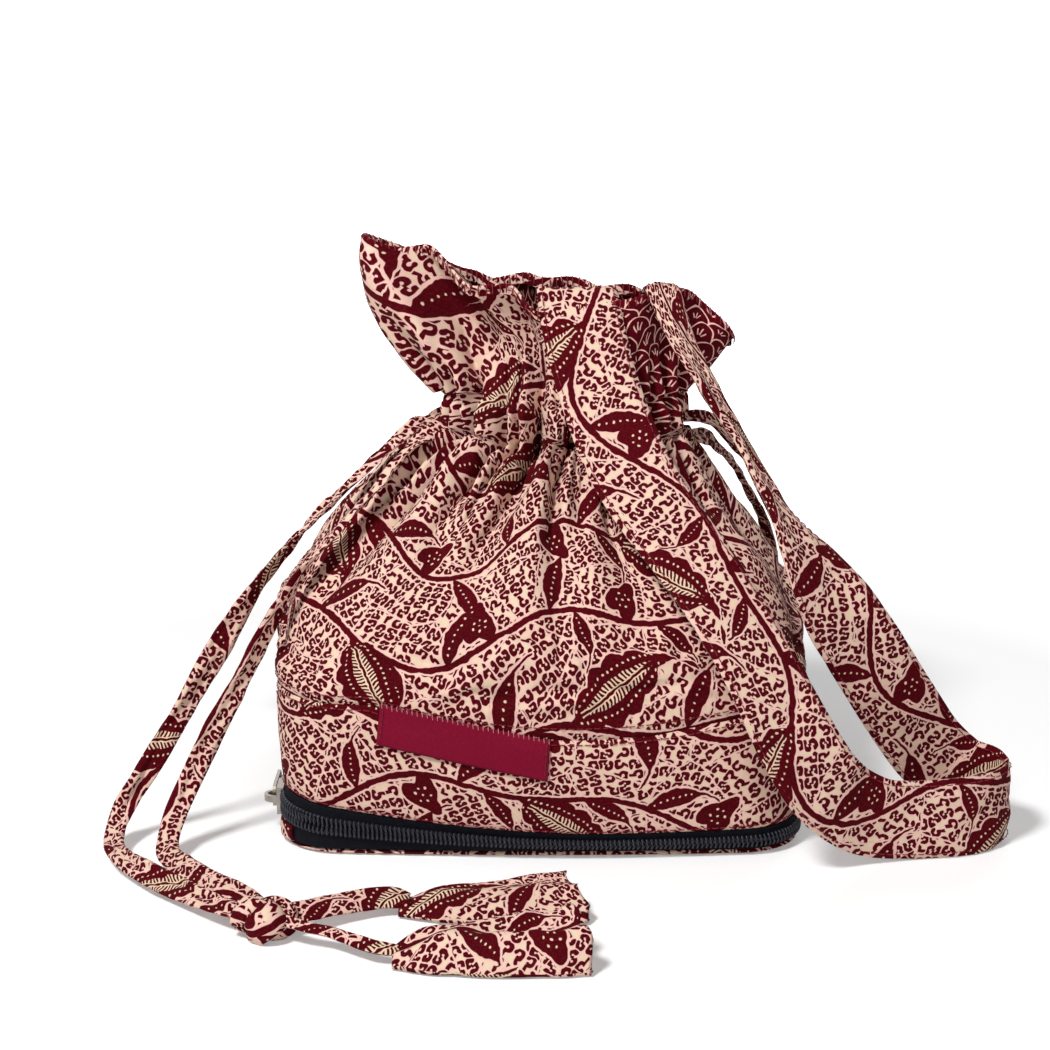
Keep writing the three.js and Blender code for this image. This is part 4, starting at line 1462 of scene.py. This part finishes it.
def drawn_in(row, inset):
    """A row of the lining within a folded row of the outside: it keeps inside the deepest folds."""
    middle = row.mean(axis=0)
    away = row - middle
    far = np.linalg.norm(away[:, :2], axis=1)
    lowest = np.min([np.roll(far, k) for k in range(-7, 8)], axis=0)
    even = np.mean([np.roll(lowest, k) for k in range(-7, 8)], axis=0)
    shrunk = (np.minimum(even, lowest) - inset) / far
    return middle + away * np.column_stack([shrunk, shrunk, np.ones(len(row))])


def lined(name, rows, cloth, **declared):
    piece = grid_object(name, rows, cloth, SCALES)
    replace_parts(piece, "lining")


def add_lining(points, out):
    """The lining: it lines the frill closely, is gathered in the neck and hangs loose below it, and
    closes above the zipped foot."""
    rows = []
    for i, row in enumerate(points):
        loose = 1 - min(max((i - NECK_ROW - 4) / 14, 0), 1)
        rows.append((row - out[i] * 0.0009) * (1 - loose) + drawn_in(row, 0.0008) * loose)
    lower = []
    for t in np.linspace(0.1, 1, 8):
        x, y = plan_curve(FOOT_X - 3 * t, FOOT_Y - 3 * t, 22, 7 - t, all_round()[::2])
        top = 53 - 11 * slump(x)
        lower.append(np.column_stack([x, y, top + (22 - top) * t]) * MM)
    rows = np.concatenate([np.array(rows)[::-2, ::2], np.array(lower)])[:, ::-1]
    cloth = cloth_places(rows, PRINT_ROUND, 0.0, 0.0)
    wall = {"flat": (0.61, 0.2), "area": 0.095, "held": "gathered", "rests_on": ["frill_cloth"]}
    lined("lining_cloth", rows, cloth, **wall)
    floor = [lower[-1] * (t, t, 1) - (0, 0, 0.0006 * (1 - t)) for t in (1.0, 0.97, 0.8, 0.5, 0.2, 0.002)]
    rows = np.array(floor)[:, ::-1]
    cloth = np.concatenate([rows[:, :, :2], rows[:, :1, :2]], axis=1)
    ground = {"flat": (0.166, 0.15), "held": "stretched", "rests_on": ["lining_cloth"]}
    lined("lining_floor_cloth", rows, cloth, **ground)


# The zip


# Heights round the foot, in millimetres: at the right, the rise to the left, and the bow
ZIP_HEIGHTS = {
    "tape_foot": (2.0, 0, 3.5),
    "chain_foot": (3.3, 5.2, 4.5),
    "chain_middle": (5.15, 6.7, 6.0),
    "chain_top": (7.1, 8.1, 7.5),
    "hem": (9.4, 9.9, 8.5),
}


def zip_row(level, count=BODY_COLUMNS):
    """Points round the foot at one of the zip's heights, in millimetres."""
    z, raised, bow = ZIP_HEIGHTS[level]
    x, y = plan_curve(FOOT_X, FOOT_Y, FOOT_CORNER, bow, all_round(count))
    return np.column_stack([x, y, z + raised * lift(x)])


def add_tape(name, low, high):
    """One tape of the zip, from one height to another, with its back just inside."""
    bottom, top = zip_row(low), zip_row(high)
    rows = [bottom * (1 - t) + top * t for t in np.linspace(0, 1, 7)]
    rows += [(bottom * (1 - t) + top * t) * (0.991, 0.99, 1) for t in (1.0, 0.5, 0.0)]
    rows = np.array([*rows, rows[0]]) * MM
    piece = grid_object(f"{name}_cloth", rows, cloth_places(rows, PRINT_ROUND, 0, 0), TAPE)
    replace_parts(piece, name)


def add_coil(name, level, phase):
    """A row of coil turns round the foot, one wire wound in flat loops that reach to the middle."""
    steps = 12
    fine = 1200
    sides = 6
    outer = closed(zip_row(level, fine))
    reach = along(outer)
    turns = int(reach[-1] * MM / COIL_PITCH)
    places = np.arange(turns * steps) / (turns * steps) * reach[-1]
    edge = between(places, reach, outer)
    toward = between(places, reach, closed(zip_row("chain_middle", fine))) - edge
    way = unit(np.roll(edge, -1, axis=0) - np.roll(edge, 1, axis=0))
    out = unit(np.cross(way, (0, 0, 1)))
    angle = (np.arange(turns * steps) / steps + phase) * TURN
    line = edge + toward * (0.5 + 0.56 * np.cos(angle))[:, None]
    line += out * (0.55 + 0.75 * np.sin(angle))[:, None]
    line += way * (0.42 * np.cos(angle))[:, None]
    line *= MM
    way = unit(np.roll(line, -1, axis=0) - np.roll(line, 1, axis=0))
    side = unit(np.cross(way, (0.13, 0.21, 0.97)))
    points = tube_rings(line, side, np.cross(side, way), COIL_WIRE, sides)
    points = np.concatenate([points, points[:1]])
    cloth = np.zeros((len(points), sides + 1, 2))
    cloth[:, :, 0] = (np.arange(len(points)) * 0.0001)[:, None]
    cloth[:, :, 1] = np.arange(sides + 1) * 0.0003
    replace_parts(grid_object(f"{name}_wire", points, cloth, COIL), name)


def add_zip():
    add_tape("lower_zip_tape", "tape_foot", "chain_middle")
    add_tape("upper_zip_tape", "chain_middle", "hem")
    add_coil("lower_zip_coil", "chain_foot", 0.0)
    add_coil("upper_zip_coil", "chain_top", 0.5)


# The base panel's rings: share of the way out, and height in millimetres
BASE_RINGS = (
    (0.002, 0.0),
    (0.5, 0.0),
    (0.9, 0.0),
    (0.985, 0.1),
    (1.0, 0.8),
    (0.985, 1.5),
    (0.9, 1.6),
    (0.002, 1.6),
)


def add_base():
    """The base panel: a flat floor of printed cloth with a rounded edge."""
    x, y = plan_curve(FOOT_X, FOOT_Y, FOOT_CORNER, 3.5, all_round(200))
    rows = np.array([np.column_stack([x * t, y * t, np.full(200, z)]) * MM for t, z in BASE_RINGS])
    cloth = np.concatenate([rows[:, :, :2], rows[:, :1, :2]], axis=1)
    piece = grid_object("base_cloth", rows, cloth)
    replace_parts(piece, "base_panel")


# The label: its width, its height, and how far its right end hangs lower, in millimetres
LABEL_WIDE, LABEL_TALL, LABEL_DROP = 55, 13.5, 11.6


def label_place(u, v, wide=LABEL_WIDE):
    """Where a place on the label lies seen from the front, u along it and v down it."""
    return -52 - 1.5 * v + wide * u, 54 - LABEL_DROP * u - LABEL_TALL * v


def front_of(rows, x, z):
    """How far forward the cloth's outside lies at a place seen from the front, in millimetres."""
    seen = rows[rows[:, 1] < 0]
    far = (seen[:, 0] - x) ** 2 + (seen[:, 2] - z) ** 2
    return seen[np.argsort(far)[:6], 1].min()


def thicken(piece, thick):
    solid = piece.modifiers.new("thick", "SOLIDIFY")
    solid.thickness = thick
    solid.offset = -1


def add_label(under):
    """The bare woven label: satin with folded ends, sewn down along its top on the cloth under it."""
    us, vs = np.linspace(0, 1, 9), np.linspace(0, 1, 4)
    coarse = [[front_of(under, *label_place(u, v, 55.3)) for u in us] for v in vs]

    def surface_y(u, v):
        return np.interp(v, vs, [np.interp(u, us, row) for row in coarse]) - 0.75

    rows = []
    cloth = []
    for v in np.linspace(1, 0, 18):
        row = []
        for u in np.linspace(0, 1, 56):
            x, z = label_place(u, v, LABEL_WIDE + 0.5 * v)
            curl = 0.5 * math.sin(u * 5) * v + 0.9 * v**3 * (u - 0.3) ** 2 * 3
            row.append((x, surface_y(u, v) - curl * 0.45, z))
            cloth.append((u * LABEL_WIDE * MM, -v * LABEL_TALL * MM))
        rows.append(row)
    cloth = np.array(cloth).reshape(18, 56, 2)
    piece = grid_object("label_cloth", np.array(rows) * MM, cloth, SATIN, wraps=False)
    thicken(piece, 0.0006)
    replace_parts(piece, "woven_label")
    lines = []
    for edge in (0.02, 0.98):
        v = np.linspace(0.05, 0.95, 40)
        x, z = label_place(edge, v, LABEL_WIDE + 0.5 * v)
        y = [surface_y(edge, share) - 0.3 for share in v]
        lines.append((np.column_stack([x, y, z]) * MM, np.tile([0, -1, 0], (40, 1))))
    sewn = stitch_rows("label_stitching", lines, pitch=0.0022)
    ticks = []
    for u in np.linspace(0.01, 0.99, 34):
        x, z = label_place(u, 0)
        y = surface_y(u, 0) - 0.25
        tall = 0.9 + 0.5 * ruffle_noise(u * 30, 1.5, 2.5)
        tick = ((x, y + 0.5, z + 0.5), (x, y - 0.25, z), (x + 0.1, y - 0.1, z - tall))
        ticks.append(np.array(tick) * MM)
    edge = threads_object("label_edge_thread", ticks, 0.00014, PINK_THREAD)


def add_end_tab():
    """A folded patch of printed cloth round the left front corner, over the zip's two ends."""
    rows = []
    for z in np.linspace(1.9, 7.2, 9):
        angle = np.linspace(1.0 * math.pi, 1.22 * math.pi, 16)
        r = FOOT_CORNER + 1.35 + 0.2 * np.sin(angle * 9 + z)
        x = FOOT_CORNER - FOOT_X + r * np.cos(angle)
        y = FOOT_CORNER - FOOT_Y + r * np.sin(angle)
        rows.append(np.column_stack([x, y, np.full(16, z)]))
    cloth = np.zeros((9, 16, 2))
    cloth[:, :, 0] = np.linspace(0, 0.012, 16)
    cloth[:, :, 1] = np.linspace(0, 0.0055, 9)[:, None]
    piece = grid_object("end_tab_cloth", np.array(rows) * MM, cloth, wraps=False)
    thicken(piece, 0.0009)
    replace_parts(piece, "zip_end_tab")


def dress_metal():
    """The slider and its pull tab keep their solids, with rounded edges and nickel."""
    for name in ("zip_slider", "zip_pull_tab"):
        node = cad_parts[name]
        node.data.materials.clear()
        node.data.materials.append(NICKEL)
        bevel = node.modifiers.new("rounded", "BEVEL")
        bevel.width = 0.00025
        bevel.segments = 2
        bevel.limit_method = "ANGLE"


# Floor and light


def backdrop_material():
    """A pale surface that shows the pouch's shadow and is white everywhere else to the camera."""
    material, tree = new_material("floor")
    place = add_node(tree, "ShaderNodeNewGeometry")
    far = Wire(tree, vector_math(tree, "LENGTH", place.outputs["Position"]))
    rays = add_node(tree, "ShaderNodeLightPath")
    glow = (far * 2.2 - 0.3).high(0.25).low(1.2) * Wire(tree, rays.outputs["Is Camera Ray"])
    inputs = {
        "Base Color": (0.86, 0.86, 0.86, 1),
        "Roughness": 0.95,
        "Specular IOR Level": 0,
        "Emission Color": (1, 1, 1, 1),
        "Emission Strength": glow,
    }
    set_shader(tree, inputs)
    return material


def add_floor():
    mesh = bpy.data.meshes.new("floor")
    far = 40
    corners = [(-far, -far, 0), (far, -far, 0), (far, far, 0), (-far, far, 0)]
    mesh.from_pydata(corners, [], [(0, 1, 2, 3)])
    mesh.materials.append(backdrop_material())
    floor = linked("floor", mesh)
    floor.location.z = -0.0002


def add_light(name, place, size, power):
    data = bpy.data.lights.new(name, "AREA")
    data.size = size
    data.energy = power
    lamp = linked(name, data)
    lamp.location = place
    lamp.rotation_euler = (Vector((0, 0, 0.08)) - Vector(place)).to_track_quat("-Z", "Y").to_euler()


def add_studio():
    """A soft lamp at the upper left, weaker ones at the right and behind, and a pale room, which the
    camera and the metal see as white."""
    add_light("key", (-0.52, -0.74, 1.15), 0.24, 17.6)
    add_light("fill", (0.5, -1.3, 0.45), 0.9, 2.8)
    add_light("back", (0.5, 1.3, 0.9), 0.9, 7)
    world = bpy.data.worlds.new("room")
    world.use_nodes = True
    tree = world.node_tree
    background = tree.nodes["Background"]
    background.inputs["Color"].default_value = (1, 1, 1, 1)
    rays = add_node(tree, "ShaderNodeLightPath")
    seen = Wire(tree, rays.outputs["Is Camera Ray"]).high(Wire(tree, rays.outputs["Is Glossy Ray"]))
    plug(tree, background.inputs["Strength"], seen * 0.86 + 0.14)
    bpy.context.scene.world = world
    bpy.context.scene.view_settings.view_transform = "Standard"


add_camera()
add_strap()
add_ribbons(add_knots_and_ends())
surface, outward = pouch_surface()
surface = add_body(surface, outward)
band = add_band()
add_lining(surface, outward)
add_zip()
add_base()
add_label(np.vstack([band.reshape(-1, 3), surface[4:16].reshape(-1, 3) / MM]))
add_end_tab()
dress_metal()
add_floor()
add_studio()

bpy.context.view_layer.update()
